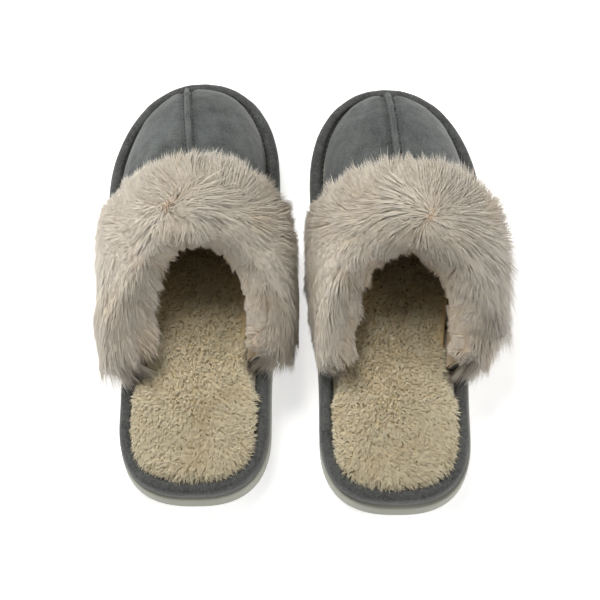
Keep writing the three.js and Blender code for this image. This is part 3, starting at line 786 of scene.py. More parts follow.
def strand_material(name, root, middle, tip, spread, middle_place):
    material, w, surface = new_material(name, {
        "Roughness": 0.75, "Specular IOR Level": 0.15, "Sheen Weight": 0.15, "Subsurface Weight": 0.5,
        "Subsurface Radius": (1.0, 0.85, 0.7), "Subsurface Scale": 0.0015,
    })
    colour = w.add("ShaderNodeGroup", {
        "Root": (*root, 1), "Middle": (*middle, 1), "Tip": (*tip, 1),
        "Spread": spread, "Middle place": middle_place,
    }, node_tree=group("Strand colour", build_strand_colour))
    w.feed(surface.inputs["Base Color"], colour.outputs["Color"])
    return material


def moulded_material(name, colour, roughness, bump):
    material, w, surface = new_material(name, {"Roughness": roughness, "Specular IOR Level": 0.35})
    skin = w.add("ShaderNodeGroup", node_tree=group("Moulded skin", build_moulding))
    w.feed(surface.inputs["Base Color"], shaded_colour(w, colour, skin.outputs["Shade"]))
    bumped = w.add("ShaderNodeBump", {"Height": skin.outputs["Height"], "Strength": bump, "Distance": 0.0003})
    w.feed(surface.inputs["Normal"], w.first(bumped))
    return material


def material_of(name):
    """The material of that name, made on first use."""
    if name in bpy.data.materials:
        return bpy.data.materials[name]
    c = colours()
    plush_middle = mix(np.array(c.plush_root), np.array(c.plush_tip), 0.6)
    makers = {
        "Upper suede": lambda n: napped_material(n, c.suede, 42, 800, 0.8, 0.25, 1.3, 1.1),
        "Rim suede": lambda n: napped_material(n, c.rim, 70, 700, 0.9, 0.25, 0.9, 1.4),
        "Lining": lambda n: napped_material(n, c.lining, 90, 900, 1.0, 0.3, 0.3, 0.6),
        "Collar backing": lambda n: napped_material(n, c.fur_root, 120, 700, 1.0, 0.1, 0.2, 0.5),
        "Footbed backing": lambda n: napped_material(n, c.plush_root, 120, 700, 1.0, 0.1, 0.2, 0.5),
        "Grey thread": lambda n: napped_material(n, c.grey_thread, 300, 3000, 0.8, 0.1),
        "Cream thread": lambda n: napped_material(n, c.cream_thread, 300, 3000, 0.8, 0.1),
        "Foam": lambda n: moulded_material(n, c.foam, 0.9, 0.6),
        "Fibre board": lambda n: moulded_material(n, c.board, 0.9, 0.8),
        "Moulded outsole": lambda n: moulded_material(n, c.rubber, 0.55, 0.25),
        "Collar fur": lambda n: strand_material(n, c.fur_root, c.fur_middle, c.fur_tip, 0.36, 0.35),
        "Footbed plush": lambda n: strand_material(n, c.plush_root, plush_middle, c.plush_tip, 0.35, 0.45),
    }
    return makers[name](name)


# ------------------------------------------------------------------ sole


def outsole_mesh(slipper):
    # Wall of the sole, from the ground up: in from the edge, share of the flare, height.
    profile = [(1.7, 0.9, 0), (1.0, 0.9, 0.25), (0.45, 0.95, 0.8), (0.1, 1, 1.5), (0.02, 0.9, 4),
               (0, 0.75, 8), (0.02, 0.6, 11), (0.18, 0.48, 12.3), (0.5, 0.42, 12.8), (1.1, 0.35, 13),
               (RECESS_WALL, 0, 13), (RECESS_WALL, 0, OUTSOLE_HEIGHT - RECESS_DEPTH)]
    phi = round_plan(220)
    flare = OUTSOLE_FLARE * smooth(0.2, -0.6, np.cos(phi))
    rings = np.array([inset_point(phi, inset - share * flare, z) for inset, share, z in profile])
    points = rings.reshape(-1, 3) + slipper.sole_shift
    count = len(phi)
    faces = grid_faces(len(profile), count, wrap_columns=True)
    faces += [tuple(range(count))[::-1], tuple(range((len(profile) - 1) * count, len(profile) * count))]
    return points, faces


def tread_cutter(slipper):
    """The grooves across forefoot and heel, as one mesh of round-ended bars."""
    def row(middle, count):
        return [middle + (i - (count - 1) / 2) * GROOVE_PITCH for i in range(count)]

    stations = row(HALF_LENGTH * 0.45, FOREFOOT_GROOVES)
    stations += [y for y in row(SEAT_PAD_Y, HEEL_GROOVES) if abs(y - SEAT_PAD_Y) > GROOVE_WIDTH]
    points, faces = [], []
    half = GROOVE_WIDTH / 2
    section = [(-half, -2), (-half, 1.6), (-half * 0.7, 2.05), (0, TREAD_DEPTH),
               (half * 0.7, 2.05), (half, 1.6), (half, -2)]
    for y in stations:
        reach = float(half_width(np.array(y))) + 6
        x = float(mid_line(np.array(y)))
        start = len(points)
        for side in (-1, 1):
            points += [(x + side * reach, y + dy, z) for dy, z in section]
        n = len(section)
        faces += [(start + i, start + (i + 1) % n, start + n + (i + 1) % n, start + n + i) for i in range(n)]
        faces += [tuple(start + i for i in range(n))[::-1], tuple(start + n + i for i in range(n))]
    return np.array(points) + slipper.sole_shift, faces


class SLIPPER_OT_outsole(bpy.types.Operator):
    """Moulded outsole with its tread"""

    bl_idname = "slipper.outsole"
    bl_label = "Outsole"

    def execute(self, context):
        for slipper in SLIPPERS:
            points, faces = outsole_mesh(slipper)
            sole = new_object(slipper.node("moulded_outsole"), slipper.placed(points), faces,
                              material_of("Moulded outsole"))
            points, faces = tread_cutter(slipper)
            cutter = new_object("tread", slipper.placed(points), faces, material_of("Moulded outsole"))
            cut = sole.modifiers.new("Tread", "BOOLEAN")
            cut.operation, cut.solver, cut.object = "DIFFERENCE", "EXACT", cutter
            result = bpy.data.meshes.new_from_object(
                sole.evaluated_get(bpy.context.evaluated_depsgraph_get()))
            sole.modifiers.remove(cut)
            bpy.data.objects.remove(cutter)
            result.name = sole.name
            sole.data = result
            result.set_sharp_from_angle(angle=math.radians(40))
            settle(sole, slipper, "outsole", slot="outsole_rubber")
        return {"FINISHED"}


class SLIPPER_OT_inner_sole(bpy.types.Operator):
    """Finish of the board and the foam inside the sole, which keep their CAD shape"""

    bl_idname = "slipper.inner_sole"
    bl_label = "Board and foam"

    def execute(self, context):
        for slipper in SLIPPERS:
            for part, name in (("insole_board", "Fibre board"), ("midsole_foam", "Foam")):
                thing = bpy.data.objects[slipper.node(part)]
                thing.data.materials.clear()
                thing.data.materials.append(material_of(name))
        return {"FINISHED"}


SHOWN_RINGS = 26  # rings of the rim that show, and so are uneven


class SLIPPER_OT_rim(bpy.types.Operator):
    """Suede rim rolled over the edge of the sole"""

    bl_idname = "slipper.rim"
    bl_label = "Rim"

    def execute(self, context):
        # Section of the rim, outside then inside: in from the edge, share of its height.
        outer = [(0.6, 0.0), (0.05, 0.12), (-0.12, 0.35), (0.2, 0.62), (1.0, 0.84), (2.4, 0.965), (4.2, 1.0),
                 (5.7, 0.97), (6.6, 0.89), (7.0, 0.8), (8.2, 0.772)]
        inner = [(8.2, 0.757), (6.1, 0.755), (4.6, 0.877), (2.7, 0.82), (1.3, 0.3), (1.8, 0.0)]
        section = np.concatenate([rounded(np.array(outer), SHOWN_RINGS), np.array(inner)])
        for slipper in SLIPPERS:
            phi = round_plan(320)
            rings = []
            for index, (inset, share) in enumerate(section):
                ring = inset_point(phi, inset, RIM_Z + share * RIM_HEIGHT)
                if index < SHOWN_RINGS:
                    uneven = 0.22 * ripple(ring, 22, 3) + 0.1 * ripple(ring, 6, 4)
                    ring = ring + np.stack([0 * phi, 0 * phi, uneven * share], axis=-1)
                    inwards = inset_point(phi, inset + 1) - inset_point(phi, inset)
                    ring += inwards * (-0.5 * uneven * share)[:, None]
                rings.append(ring)
            points = np.array(rings).reshape(-1, 3)
            count = len(phi)
            faces = grid_faces(len(section), count, wrap_columns=True)
            faces += [((len(section) - 1) * count + c, (len(section) - 1) * count + (c + 1) % count,
                       (c + 1) % count, c) for c in range(count)]
            make_piece(slipper, "suede_rim", (points, faces), "Rim suede", "rim_wrap", "rim_suede", 60)
        return {"FINISHED"}


# ------------------------------------------------------------------ upper


def upper_relief(upper, across, up, amount=1.0):
    """How far the suede stands out: a channel on each side of the ridge, a roll into the
    groove at the rim, faint creases by the seam and soft dents."""
    speed = np.linalg.norm(
        upper.surface(across + 0.01, up) - upper.surface(across - 0.01, up), axis=-1) / 0.02
    aside = np.abs(across) * speed
    base = upper.surface(across, up)
    height = np.linalg.norm(base - upper.foot(across), axis=-1)
    channel = -1.15 * np.exp(-(((aside - 2.7) / 1.25) ** 2))
    puffed = 0.5 * np.exp(-(((aside - 8.0) / 4.0) ** 2))
    roll = -0.7 * np.exp(-(((height - 1.2) / 1.6) ** 2))
    creases = 0.22 * ripple(base * [0.25, 1, 0.4], 3.2, 11) * np.exp(-aside / 9.0)
    dents = 0.45 * ripple(base, 26, 12) + 0.14 * ripple(base, 9, 13)
    free = smooth(0, 6, height)
    return amount * (channel + puffed + roll + (creases + dents) * free)


def upper_grid(upper, depth, columns, rows, start=-1.0, end=1.0, relief=1.0):
    across, up = np.meshgrid(np.linspace(start, end, columns), np.linspace(0, 1, rows))
    under = upper_relief(upper, across, up, relief) if relief else 0.0
    grid = upper.point(across, up, under - depth)
    grid[0, :, 2] = BED_Z
    return grid


class SLIPPER_OT_upper(bpy.types.Operator):
    """Suede halves, interlining, lining and the ridge over the centre seam"""

    bl_idname = "slipper.upper"
    bl_label = "Upper"

    def execute(self, context):
        for slipper in SLIPPERS:
            upper = slipper.upper
            for side, part in ((1, "medial"), (-1, "lateral")):
                ends = sorted((side * 0.006, float(side)))
                body = slab(upper_grid(upper, 0, 96, 72, *ends), upper_grid(upper, SUEDE, 96, 72, *ends))
                make_piece(slipper, f"suede_{part}", body, "Upper suede", f"vamp_{part}", "upper_suede", 60)
            body = slab(upper_grid(upper, FOAM_LAYER, 90, 36),
                        upper_grid(upper, FOAM_LAYER + FOAM, 90, 36, relief=0.4))
            make_piece(slipper, "interlining", body, "Foam", "vamp_foam", "white_foam")
            body = slab(upper_grid(upper, LINING_LAYER, 120, 60, relief=0.3),
                        upper_grid(upper, LINING_LAYER + LINING, 120, 60, relief=0.3))
            make_piece(slipper, "lining", body, "Lining", "vamp_lining", "lining_plush", 60)
            self.ridge(slipper)
        return {"FINISHED"}

    def ridge(self, slipper):
        upper = slipper.upper
        end = float(upper.collar_edge(np.array(0.0))) + 0.06
        up = np.linspace(0.02, end, 90)
        half = RIDGE_WIDTH * 0.42
        turn = np.linspace(0, math.pi, 11)
        section = [
            (-half * math.copysign(abs(math.cos(t)) ** 0.8, math.cos(t)), 2.1 * math.sin(t) ** 0.7)
            for t in turn
        ]
        rings = []
        for aside, out in section:
            wobble = 0.18 * np.sin(up * 46) + 0.12 * np.sin(up * 91 + 1)
            swell = 1 + 0.1 * np.sin(up * 63 + 2)
            rings.append(upper.point(0 * up, up, 0.1 + out * swell, 0, aside + wobble))
        points = np.array(rings).transpose(1, 0, 2).reshape(-1, 3)
        n = len(section)
        faces = grid_faces(len(up), n, wrap_columns=True)
        faces += [tuple(range(n))[::-1], tuple(range((len(up) - 1) * n, len(up) * n))]
        make_piece(slipper, "ridge", (points, faces), "Upper suede", "vamp_ridge", "upper_suede", 70)


# ------------------------------------------------------------------ footbed


PLUSH_SPLIT_Y = -42.0  # the pile is made in two pieces, which meet here


def footbed_grid():
    """Rings of the footbed's top from its edge to its spine, in local millimetres."""
    phi = round_plan(192)
    back = np.cos(phi) * HALF_LENGTH
    inset = mix(PLUSH_HEEL_INSET, PLUSH_TOE_INSET, smooth(WING_END_Y - 22, WING_END_Y - 4, back))
    outline = inset_point(phi, inset)
    spine_y = np.clip(outline[:, 1], -HALF_LENGTH + 50, HALF_LENGTH - 62)
    spine = np.stack([mid_line(spine_y), spine_y, 0 * phi], axis=-1)
    shares = [0.0, 0.0, 0.02, 0.05, 0.09, 0.14, 0.2, 0.27, 0.35, 0.44, 0.54, 0.64, 0.74, 0.84, 0.93, 1.0]
    levels = [0.05, 2.2, 3.3, 3.9, 4.3, 4.5] + [4.6] * 10
    rings = []
    for share, level in zip(shares, levels):
        ring = mix(outline, spine, share)
        ring[:, 2] = BED_Z + level
        if level > 4:
            ring[:, 2] += 0.5 * ripple(ring * [1, 1, 0], 24, 21)
        rings.append(ring)
    return np.array(rings), outline, spine


class SLIPPER_OT_footbed(bpy.types.Operator):
    """Plush sock: a backing and its short curly pile"""

    bl_idname = "slipper.footbed"
    bl_label = "Footbed plush"

    def execute(self, context):
        s = sizes()
        tree = bpy.data.node_groups.get("Pile") or pile_tree()
        for slipper in SLIPPERS:
            rings, outline, spine = footbed_grid()
            count = rings.shape[1]
            faces = grid_faces(len(rings), count, wrap_columns=True)
            under = tuple(range(count))
            outward = unit((outline - spine) * [1, 1, 0] + 1e-6)
            steps = len(rings)
            edge = np.linspace(1, 0, steps) ** 1.5
            inner = np.linspace(0, 1, steps) ** 3
            lie = outward[None] * (0.35 + 0.25 * edge - 0.35 * inner)[:, None, None] + np.zeros_like(rings)
            swirl = ripple(rings * [1, 1, 0], 20, 31) * 1.1
            cos, sin = np.cos(swirl), np.sin(swirl)
            lie = np.stack([lie[..., 0] * cos - lie[..., 1] * sin, lie[..., 0] * sin + lie[..., 1] * cos,
                            lie[..., 2]], axis=-1)
            lie += np.array([0, -0.25, 0])
            up = np.zeros_like(rings) + [0, 0, 1.0]
            up[:3] += outward * 0.6
            pile = np.full(rings.shape[:2], 1.0) * mix(1.0, 0.62, edge)[:, None]
            growth = np.ones(rings.shape[:2])
            growth[0] = 0.0
            covered = smooth(WING_END_Y + 8, WING_END_Y + 22, rings[..., 1])
            lie *= (1 - covered)[..., None]
            growth *= mix(1.0, 0.15, smooth(-5, 45, rings[..., 1]))
            growth *= np.where((covered > 0.3) & (np.arange(len(rings)) < 5)[:, None], 0.0, 1.0)
            points = rings.reshape(-1, 3)
            middle = np.array([points[list(f)].mean(axis=0) for f in faces])
            part = np.where(middle[:, 1] > PLUSH_SPLIT_Y, 1, 0).astype(int)
            base = backing(slipper.node("footbed_base"), slipper.placed(points), faces, [
                ("lie", "FLOAT_VECTOR", "POINT", slipper.turned(lie.reshape(-1, 3))),
                ("up", "FLOAT_VECTOR", "POINT", slipper.turned(unit(up.reshape(-1, 3)))),
                ("pile", "FLOAT", "POINT", pile.ravel()),
                ("growth", "FLOAT", "POINT", growth.ravel()),
                # shade: painted shade under the instep; it lowers the pile's tone from 0.55 at the heel to
                # 0.02 at the toe
                ("shade", "FLOAT", "POINT", mix(0.55, 0.02, smooth(-45, 15, rings[..., 1])).ravel()),
                ("part", "INT", "FACE", part),
            ], material_of("Footbed backing"))
            for number, where in enumerate(("heel", "toe")):
                plush = grown(slipper.node(f"plush_{where}"), base, tree, {
                    "Part": number, "Strands per area": s.plush_density, "Length": s.plush_length,
                    "Width": s.plush_width, "Lift": 0.26, "Droop": 0.05, "Stray": 0.42,
                    "Clump size": 0.0075, "Clump pull": 0.15, "Tuft size": 0.0026, "Tuft pull": 0.4,
                    "Wave": 0.0009, "Turns": 5.0, "Seed": s.seed + number,
                    "Material": material_of("Footbed plush"),
                }, soften=0.96)
                settle(plush, slipper, slot="footbed_plush")
            bpy.data.objects.remove(base)
            piece = make_piece(slipper, "footbed", (points, faces + [under]), "Footbed backing",
                               "footbed_plush", "footbed_plush")
        return {"FINISHED"}


# ------------------------------------------------------------------ collar

FUR_PIECES = ("outer_wing", "outer_front", "inner_front", "inner_wing")
FUR_PIECE_ENDS = (-0.56, 0.0, 0.56)
VISIBLE = 44  # points of a ring that fur grows on
CAP_RINGS = 6
CAP_REACH = 4.5  # how far a wing's rounded end stands past its last ring
COLLAR_REACH = 0.96  # how far round the upper the collar runs
LEAST_LIE = 0.4  # fur lies fully over wherever its pull is at least this


def fullness_at(slipper, across):
    """How thick the collar stands, against its usual thickness."""
    return np.interp(across, FULLNESS_STATIONS, slipper.fullness)


def collar_section(slipper, across):
    """One ring round the collar's backing: first what shows, from its lower outer edge
    over the crown to the inner hem, then what lies against the upper."""
    upper = slipper.upper
    edge = upper.collar_edge(across)
    pile = COLLAR_PILE * (1 - 0.25 * np.abs(across) ** 4) * fullness_at(slipper, across)
    body = pile * sizes().fur_body

    def on(share, out, beyond=0.0):
        return upper.point(across, mix(edge, 1, share), out, beyond)

    shown = np.array([
        on(0.0, COLLAR_CLEARANCE + 0.15 * body),
        on(0.05, COLLAR_CLEARANCE + 0.6 * body),
        on(0.2, COLLAR_CLEARANCE + 0.95 * body),
        on(0.5, COLLAR_CLEARANCE + 1.08 * body),
        on(0.8, COLLAR_CLEARANCE + 1.05 * body),
        on(1.0, COLLAR_CLEARANCE + 0.88 * body, 0.0),
        on(1.0, 0.42 * body, 2.0),
        on(1.0, -0.3 * body, 2.3),
        on(1.0, -TURN_DEPTH - 1.6, 1.0),
        on(0.88, -TURN_DEPTH - 3.2),
        on(0.7, -TURN_DEPTH - 2.6),
        on(0.66, -TURN_DEPTH - 0.3),
    ])
    hidden = np.array([
        on(0.68, -TURN_DEPTH), on(0.85, -TURN_DEPTH), on(1.0, -TURN_DEPTH), on(1.0, -TURN_DEPTH, 1.3),
        on(1.0, -3.0, 1.4), on(1.0, COLLAR_CLEARANCE, 1.3), on(1.0, COLLAR_CLEARANCE),
        *[on(share, COLLAR_CLEARANCE) for share in (0.86, 0.72, 0.58, 0.44, 0.3, 0.16, 0.02)],
    ])
    return rounded(shown, VISIBLE), hidden


def collar_grid(slipper):
    """All rings of the collar's backing, with a rounded end at each wing."""
    upper = slipper.upper
    across = np.linspace(-COLLAR_REACH, COLLAR_REACH, 121)
    shown, hidden = collar_section(slipper, across)
    rings = np.concatenate([shown, hidden]).transpose(1, 0, 2)
    side = upper.axes(across, np.full_like(across, 0.6))[0]
    turns = (np.arange(CAP_RINGS) + 1) / CAP_RINGS * math.pi / 2
    ends = []
    for ring, way in ((rings[0], -side[0]), (rings[-1], side[-1])):
        middle = ring.mean(axis=0)
        cap = [
            middle + (ring - middle) * max(math.cos(t), 0.04) ** 0.7 + way * CAP_REACH * math.sin(t)
            for t in turns
        ]
        ends.append(np.array(cap))
    grid = np.concatenate([ends[0][::-1], rings, ends[1]])
    beyond = np.linspace(0.02, 0.12, CAP_RINGS)
    return grid, np.concatenate([across[0] - beyond[::-1], across, across[-1] + beyond])


def collar_lie(slipper, grid, across, seed):
    """Which way the fur lies, its upright direction and its length at each point."""
    shown = grid[:, :VISIBLE]
    along = np.gradient(shown, axis=0)
    round_it = np.gradient(shown, axis=1)
    up = unit(np.cross(round_it, along))
    middle = grid.mean(axis=1, keepdims=True)
    up *= np.sign(np.sum(up * (shown - middle), axis=(1, 2), keepdims=True))
    run = np.linalg.norm(round_it, axis=-1)
    place = np.cumsum(run, axis=1) / run.sum(axis=1, keepdims=True)
    far = np.abs(across)[:, None]
    parting = 0.42 + 0.04 * ripple(shown, 22, seed) + 0.08 * far
    way = np.clip((place - parting) / 0.2, -1, 1)
    swirl = np.tanh(5 * across[:, None] + 1.2 * ripple(shown, 20, seed + 1)) * np.sqrt(1 - way**2) * 0.8
    back = smooth(0.3, 0.85, far) * np.sign(across)[:, None]
    back *= mix(1.0, 0.15, smooth(0.5, 0.8, across * slipper.upper.splayed))[:, None]
    back = back * (0.75 + 0.25 * np.abs(way)) + swirl + 0.22 * ripple(shown, 14, seed + 2)
    outer = mix(1.0, 0.5, smooth(0.4, 1.0, far))
    lie = unit(round_it) * (way * np.where(way < 0, outer, 0.8))[..., None] + unit(along) * back[..., None]
    lie -= up * np.sum(lie * up, axis=-1, keepdims=True)
    lie += np.array([0.0, 0.0, -0.12]) + smooth(0.86, 1.02, far)[..., None] * np.array([0.0, -0.4, -0.1])
    size = np.linalg.norm(lie, axis=-1, keepdims=True)
    lie = lie / np.maximum(size, LEAST_LIE)
    pile = mix(1.0, 0.65, smooth(0.4, 0.58, place)) * mix(1.0, 0.45, smooth(0.6, 0.76, place))
    pile *= mix(1.0, 0.7, smooth(0.75, 1.0, far)) * fullness_at(slipper, across)[:, None]
    flat = smooth(0.45, 0.7, across * slipper.upper.splayed)[:, None] * smooth(0.5, 0.64, place)
    pile *= mix(1.0, 0.6, flat)
    pile *= mix(0.62, 1.0, np.maximum(smooth(0.4, 0.65, far), 1 - smooth(0.5, 0.6, place)))
    pile = np.maximum(pile, 0.2)
    pile = pile * mix(0.75, 1.0, smooth(0.0, 0.12, place))
    pile *= 1 + mix(0.09, 0.2, smooth(0.3, 0.6, place)) * ripple(shown, 8, seed + 3)
    pile += 0.16 * smooth(0.56, 0.64, place) * (1 - flat) * np.clip(ripple(shown, 6, seed + 5) + 0.4, 0, 1.2)
    return lie, up, pile, place


class SLIPPER_OT_collar(bpy.types.Operator):
    """Fur collar: its turned backing and the long pile that grows on it"""

    bl_idname = "slipper.collar"
    bl_label = "Fur collar"

    def execute(self, context):
        s = sizes()
        tree = bpy.data.node_groups.get("Pile") or pile_tree()
        gap = (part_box("left_fur_cuff")[1].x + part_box("right_fur_cuff")[0].x) / 2
        for index, slipper in enumerate(SLIPPERS):
            grid, across = collar_grid(slipper)
            lie, up, pile, place = collar_lie(slipper, grid, across, 50 + 10 * index)
            rows, columns = grid.shape[:2]
            faces = grid_faces(rows, columns, wrap_columns=True)
            points = grid.reshape(-1, 3)

            def full(values, fill=0.0):
                block = np.full((rows, columns, *values.shape[2:]), fill)
                block[:, :VISIBLE] = values
                return block.reshape(rows * columns, *values.shape[2:])

            growth = np.ones_like(place)
            growth[:, -1] = 0
            # shade: the fur's tone drops by 0.25 from over the crown down the inner side that faces the
            # opening; this is partly painted shade, and the low tone also gives the fur a warmer tint there
            shade = 0.55 - 0.25 * smooth(0.6, 0.8, place)
            reach = np.repeat(((across[:-1] + across[1:]) / 2), columns)
            part = np.digitize(reach, FUR_PIECE_ENDS)
            base = backing(slipper.node("collar_base"), slipper.placed(points), faces, [
                ("lie", "FLOAT_VECTOR", "POINT", slipper.turned(full(lie))),
                ("up", "FLOAT_VECTOR", "POINT", slipper.turned(full(up))),
                ("pile", "FLOAT", "POINT", full(pile)),
                ("growth", "FLOAT", "POINT", full(growth)),
                ("shade", "FLOAT", "POINT", full(shade)),
                ("part", "INT", "FACE", part),
            ], material_of("Collar backing"))
            for number, where in enumerate(FUR_PIECES):
                fur = grown(slipper.node(f"fur_{where}"), base, tree, {
                    "Part": number, "Strands per area": s.fur_density, "Length": s.fur_length,
                    "Width": s.fur_width, "Lift": 0.27, "Droop": 0.16, "Stray": 0.22,
                    "Clump size": s.fur_clump, "Clump pull": 0.28, "Tuft size": s.fur_clump * 0.3,
                    "Tuft pull": 0.1, "Wave": 0.0006, "Turns": 5.0,
                    "Neighbour plane": gap + 0.0015 - 0.0008 * slipper.mirror,
                    "Neighbour side": float(slipper.mirror),
                    "Seed": s.seed + 10 * index + number, "Material": material_of("Collar fur"),
                }, soften=0.96)
                settle(fur, slipper, slot="collar_fur")
            bpy.data.objects.remove(base)
            caps = [tuple(range(columns))[::-1], tuple(range((rows - 1) * columns, rows * columns))]
            piece = make_piece(slipper, "collar", (points, faces + caps), "Collar backing",
                               "fur_cuff", "collar_fur")
        return {"FINISHED"}


# ------------------------------------------------------------------ stitches


def stitch_tree():
    """Separate stitches, rounded at both ends, laid along a line."""
    w, given = geometry_tree("Stitches", [
        ("Pitch", "Float", 0.004), ("Stitch length", "Float", 0.003), ("Thread width", "Float", 0.0008),
        ("Slant", "Float", 0.0), ("Material", "Material", None),
    ])
    line = w.first(w.add("GeometryNodeMeshToCurve", {0: given["Geometry"]}))
    even = w.add("GeometryNodeResampleCurve", {"Curve": line, "Length": given["Pitch"]}, mode="LENGTH")
    ball = w.add("GeometryNodeMeshUVSphere", {"Segments": 8, "Rings": 5, "Radius": 0.5})
    size = w.joined(given["Stitch length"], given["Thread width"], given["Thread width"])
    stitch = w.first(w.add("GeometryNodeTransform", {"Geometry": w.first(ball), "Scale": size}))
    tangent = w.first(w.add("GeometryNodeInputTangent"))
    turned = w.add("FunctionNodeAlignRotationToVector", {"Vector": tangent}, axis="X")
    slanted = w.add("FunctionNodeRotateRotation", {0: w.first(turned), 1: w.joined(0.0, 0.0, given["Slant"])},
                    rotation_space="LOCAL")
    laid = w.add("GeometryNodeInstanceOnPoints", {
        "Points": w.first(even), "Instance": stitch, "Rotation": w.first(slanted)})
    close_tree(w, w.first(laid), given["Material"])
    return w.tree


class SLIPPER_OT_stitches(bpy.types.Operator):
    """Every run of stitches: rim, foot of the upper, ridge and inside the collar"""

    bl_idname = "slipper.stitches"
    bl_label = "Stitches"

    def execute(self, context):
        s = sizes()
        tree = bpy.data.node_groups.get("Stitches") or stitch_tree()
        for slipper in SLIPPERS:
            upper = slipper.upper
            start = WING_PHI + 0.06
            seam = GROOVE_INSET - 0.15, BED_Z + 0.75
            heel = inset_point(np.linspace(start, 2 * math.pi - start, 200), *seam)
            toe = inset_point(np.linspace(-WING_PHI, WING_PHI, 240), *seam)
            up = np.linspace(0.05, float(upper.collar_edge(np.array(0.0))), 60)
            across = np.linspace(-0.94, 0.94, 120)
            level = mix(upper.collar_edge(across), 1, COLLAR_STITCH_LEVEL)
            hem = upper.point(across, level, -TURN_DEPTH - 3.6)
            runs = [
                ("rim_stitch", heel, "Grey thread", "grey_thread", 0.35),
                ("vamp_stitch", toe, "Grey thread", "grey_thread", 0.35),
                ("cuff_stitch", hem, "Cream thread", "cream_thread", 0.0),
            ]
            for side, part in ((1, "medial"), (-1, "lateral")):
                route = upper.point(0 * up, up, -0.75, 0, side * 2.6)
                runs.append((f"ridge_stitch_{part}", route, "Grey thread", "grey_thread", 0.0))
            for part, route, material, slot, slant in runs:
                line = bpy.data.meshes.new("route")
                line.from_pydata([tuple(p) for p in slipper.placed(route)],
                                 [(i, i + 1) for i in range(len(route) - 1)], [])
                guide = linked("route", line)
                piece = grown(slipper.node(part + "es"), guide, tree, {
                    "Pitch": s.stitch_pitch, "Stitch length": s.stitch_pitch * 0.8,
                    "Thread width": s.stitch_width, "Slant": slant * slipper.mirror,
                    "Material": material_of(material),
                })
                bpy.data.objects.remove(guide)
                settle(piece, slipper, part, slot=slot)
        return {"FINISHED"}


# ------------------------------------------------------------------ stage


CAMERA_LENS = 81.58
CAMERA_HEIGHT_ANGLE = 67.12  # degrees above the floor
CAMERA_AIM = (0.00171, -0.01157, 0.02)
CAMERA_DISTANCE = 0.8007
LIGHT_AIM = (0.0, 0.0, 0.03)
FLOOR_REACH = 20.0  # so far that its edge is hardly seen from low down


def area_light(name, place, size, power, colour):
    data = bpy.data.lights.new(name, "AREA")
    data.shape, data.size, data.energy, data.color = "DISK", size, power, colour
    light = linked(name, data)
    light.location = place
    way = np.array(LIGHT_AIM) - np.array(place)
    light.rotation_mode = "QUATERNION"
    light.rotation_quaternion = Vector(way).to_track_quat("-Z", "Y")


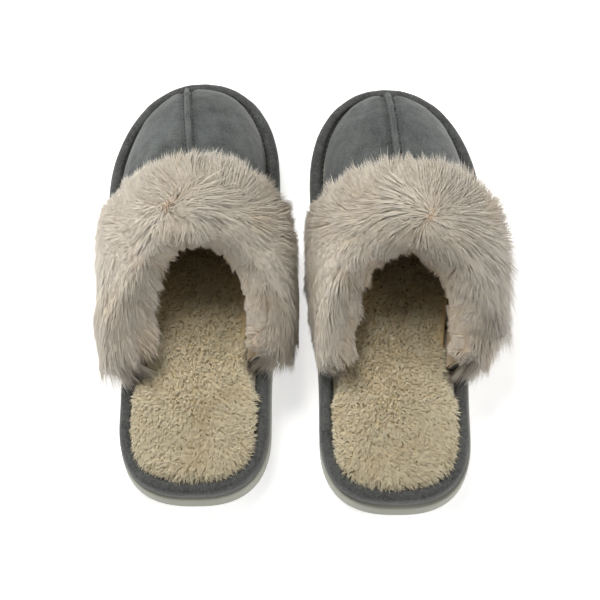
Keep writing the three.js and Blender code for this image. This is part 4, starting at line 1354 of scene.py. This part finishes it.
class SLIPPER_OT_stage(bpy.types.Operator):
    """Camera, soft lights and a plain pale floor"""

    bl_idname = "slipper.stage"
    bl_label = "Stage"

    def execute(self, context):
        scene = bpy.context.scene
        lens = bpy.data.cameras.new("Camera")
        lens.lens, lens.sensor_width = CAMERA_LENS, 36.0
        lens.clip_start, lens.clip_end = 0.05, 20
        camera = bpy.data.objects.new("Camera", lens)
        lean = math.radians(CAMERA_HEIGHT_ANGLE)
        back = Vector((0, -math.cos(lean), math.sin(lean)))
        camera.location = Vector(CAMERA_AIM) + back * CAMERA_DISTANCE
        camera.rotation_mode = "QUATERNION"
        camera.rotation_quaternion = (-back).to_track_quat("-Z", "Y")
        scene.collection.objects.link(camera)
        scene.camera = camera

        area_light("Key", (-0.38, 0.72, 1.15), 0.8, 16, (1.0, 0.985, 0.96))
        area_light("Right side", (1.2, -0.3, 0.55), 0.8, 7, (1.0, 0.99, 0.98))
        area_light("Left side", (-1.2, -0.3, 0.55), 0.8, 5, (1.0, 0.99, 0.98))
        world = bpy.data.worlds.new("Studio")
        world.use_nodes = True
        sky = Wiring(world.node_tree)
        soft = world.node_tree.nodes["Background"]
        soft.inputs["Color"].default_value = (1, 1, 1, 1)
        soft.inputs["Strength"].default_value = 0.16
        backdrop = sky.add("ShaderNodeBackground", {"Color": (1, 1, 1, 1), "Strength": 0.9})
        seen = sky.add("ShaderNodeLightPath").outputs["Is Camera Ray"]
        both = sky.add("ShaderNodeMixShader", {0: seen, 1: soft.outputs[0], 2: backdrop.outputs[0]})
        sky.feed(world.node_tree.nodes["World Output"].inputs["Surface"], both.outputs[0])
        scene.world = world
        scene.view_settings.view_transform = "Standard"

        mesh = bpy.data.meshes.new("Floor")
        corners = [(x * FLOOR_REACH, y * FLOOR_REACH, 0) for x, y in ((-1, -1), (1, -1), (1, 1), (-1, 1))]
        mesh.from_pydata(corners, [], [(0, 1, 2, 3)])
        material, w, surface = new_material("Floor", {
            "Roughness": 0.9, "Emission Color": (1, 1, 1, 1), "Emission Strength": 0.6,
        })
        cloud = w.noise(w.add("ShaderNodeTexCoord").outputs["Object"], 3.0, 2.0)
        shade = w.line(cloud, 0.02, 0.9)
        w.feed(surface.inputs["Base Color"], w.joined(shade, shade, shade))
        mesh.materials.append(material)
        linked("Floor", mesh)
        return {"FINISHED"}


class SLIPPER_PT_panel(bpy.types.Panel):
    """The slippers' sizes, colours and steps"""

    bl_label = "Slippers"
    bl_idname = "SLIPPER_PT_panel"
    bl_space_type = "VIEW_3D"
    bl_region_type = "UI"
    bl_category = "Slippers"

    def draw(self, context):
        for settings in (sizes(), colours()):
            box = self.layout.box()
            for key in settings.__annotations__:
                box.prop(settings, key)
        for step in STEPS:
            self.layout.operator(step.bl_idname)


STEPS = (
    SLIPPER_OT_stage,
    SLIPPER_OT_outsole,
    SLIPPER_OT_inner_sole,
    SLIPPER_OT_rim,
    SLIPPER_OT_upper,
    SLIPPER_OT_footbed,
    SLIPPER_OT_collar,
    SLIPPER_OT_stitches,
)
CLASSES = (SlipperSizes, SlipperColours, *STEPS, SLIPPER_PT_panel)


def register():
    for item in CLASSES:
        bpy.utils.register_class(item)
    bpy.types.Scene.slipper_sizes = PointerProperty(type=SlipperSizes)
    bpy.types.Scene.slipper_colours = PointerProperty(type=SlipperColours)


def unregister():
    del bpy.types.Scene.slipper_sizes, bpy.types.Scene.slipper_colours
    for item in reversed(CLASSES):
        bpy.utils.unregister_class(item)


def main():
    register()
    for step in STEPS:
        space, name = step.bl_idname.split(".")
        getattr(getattr(bpy.ops, space), name)()


if __name__ == "__main__":
    main()
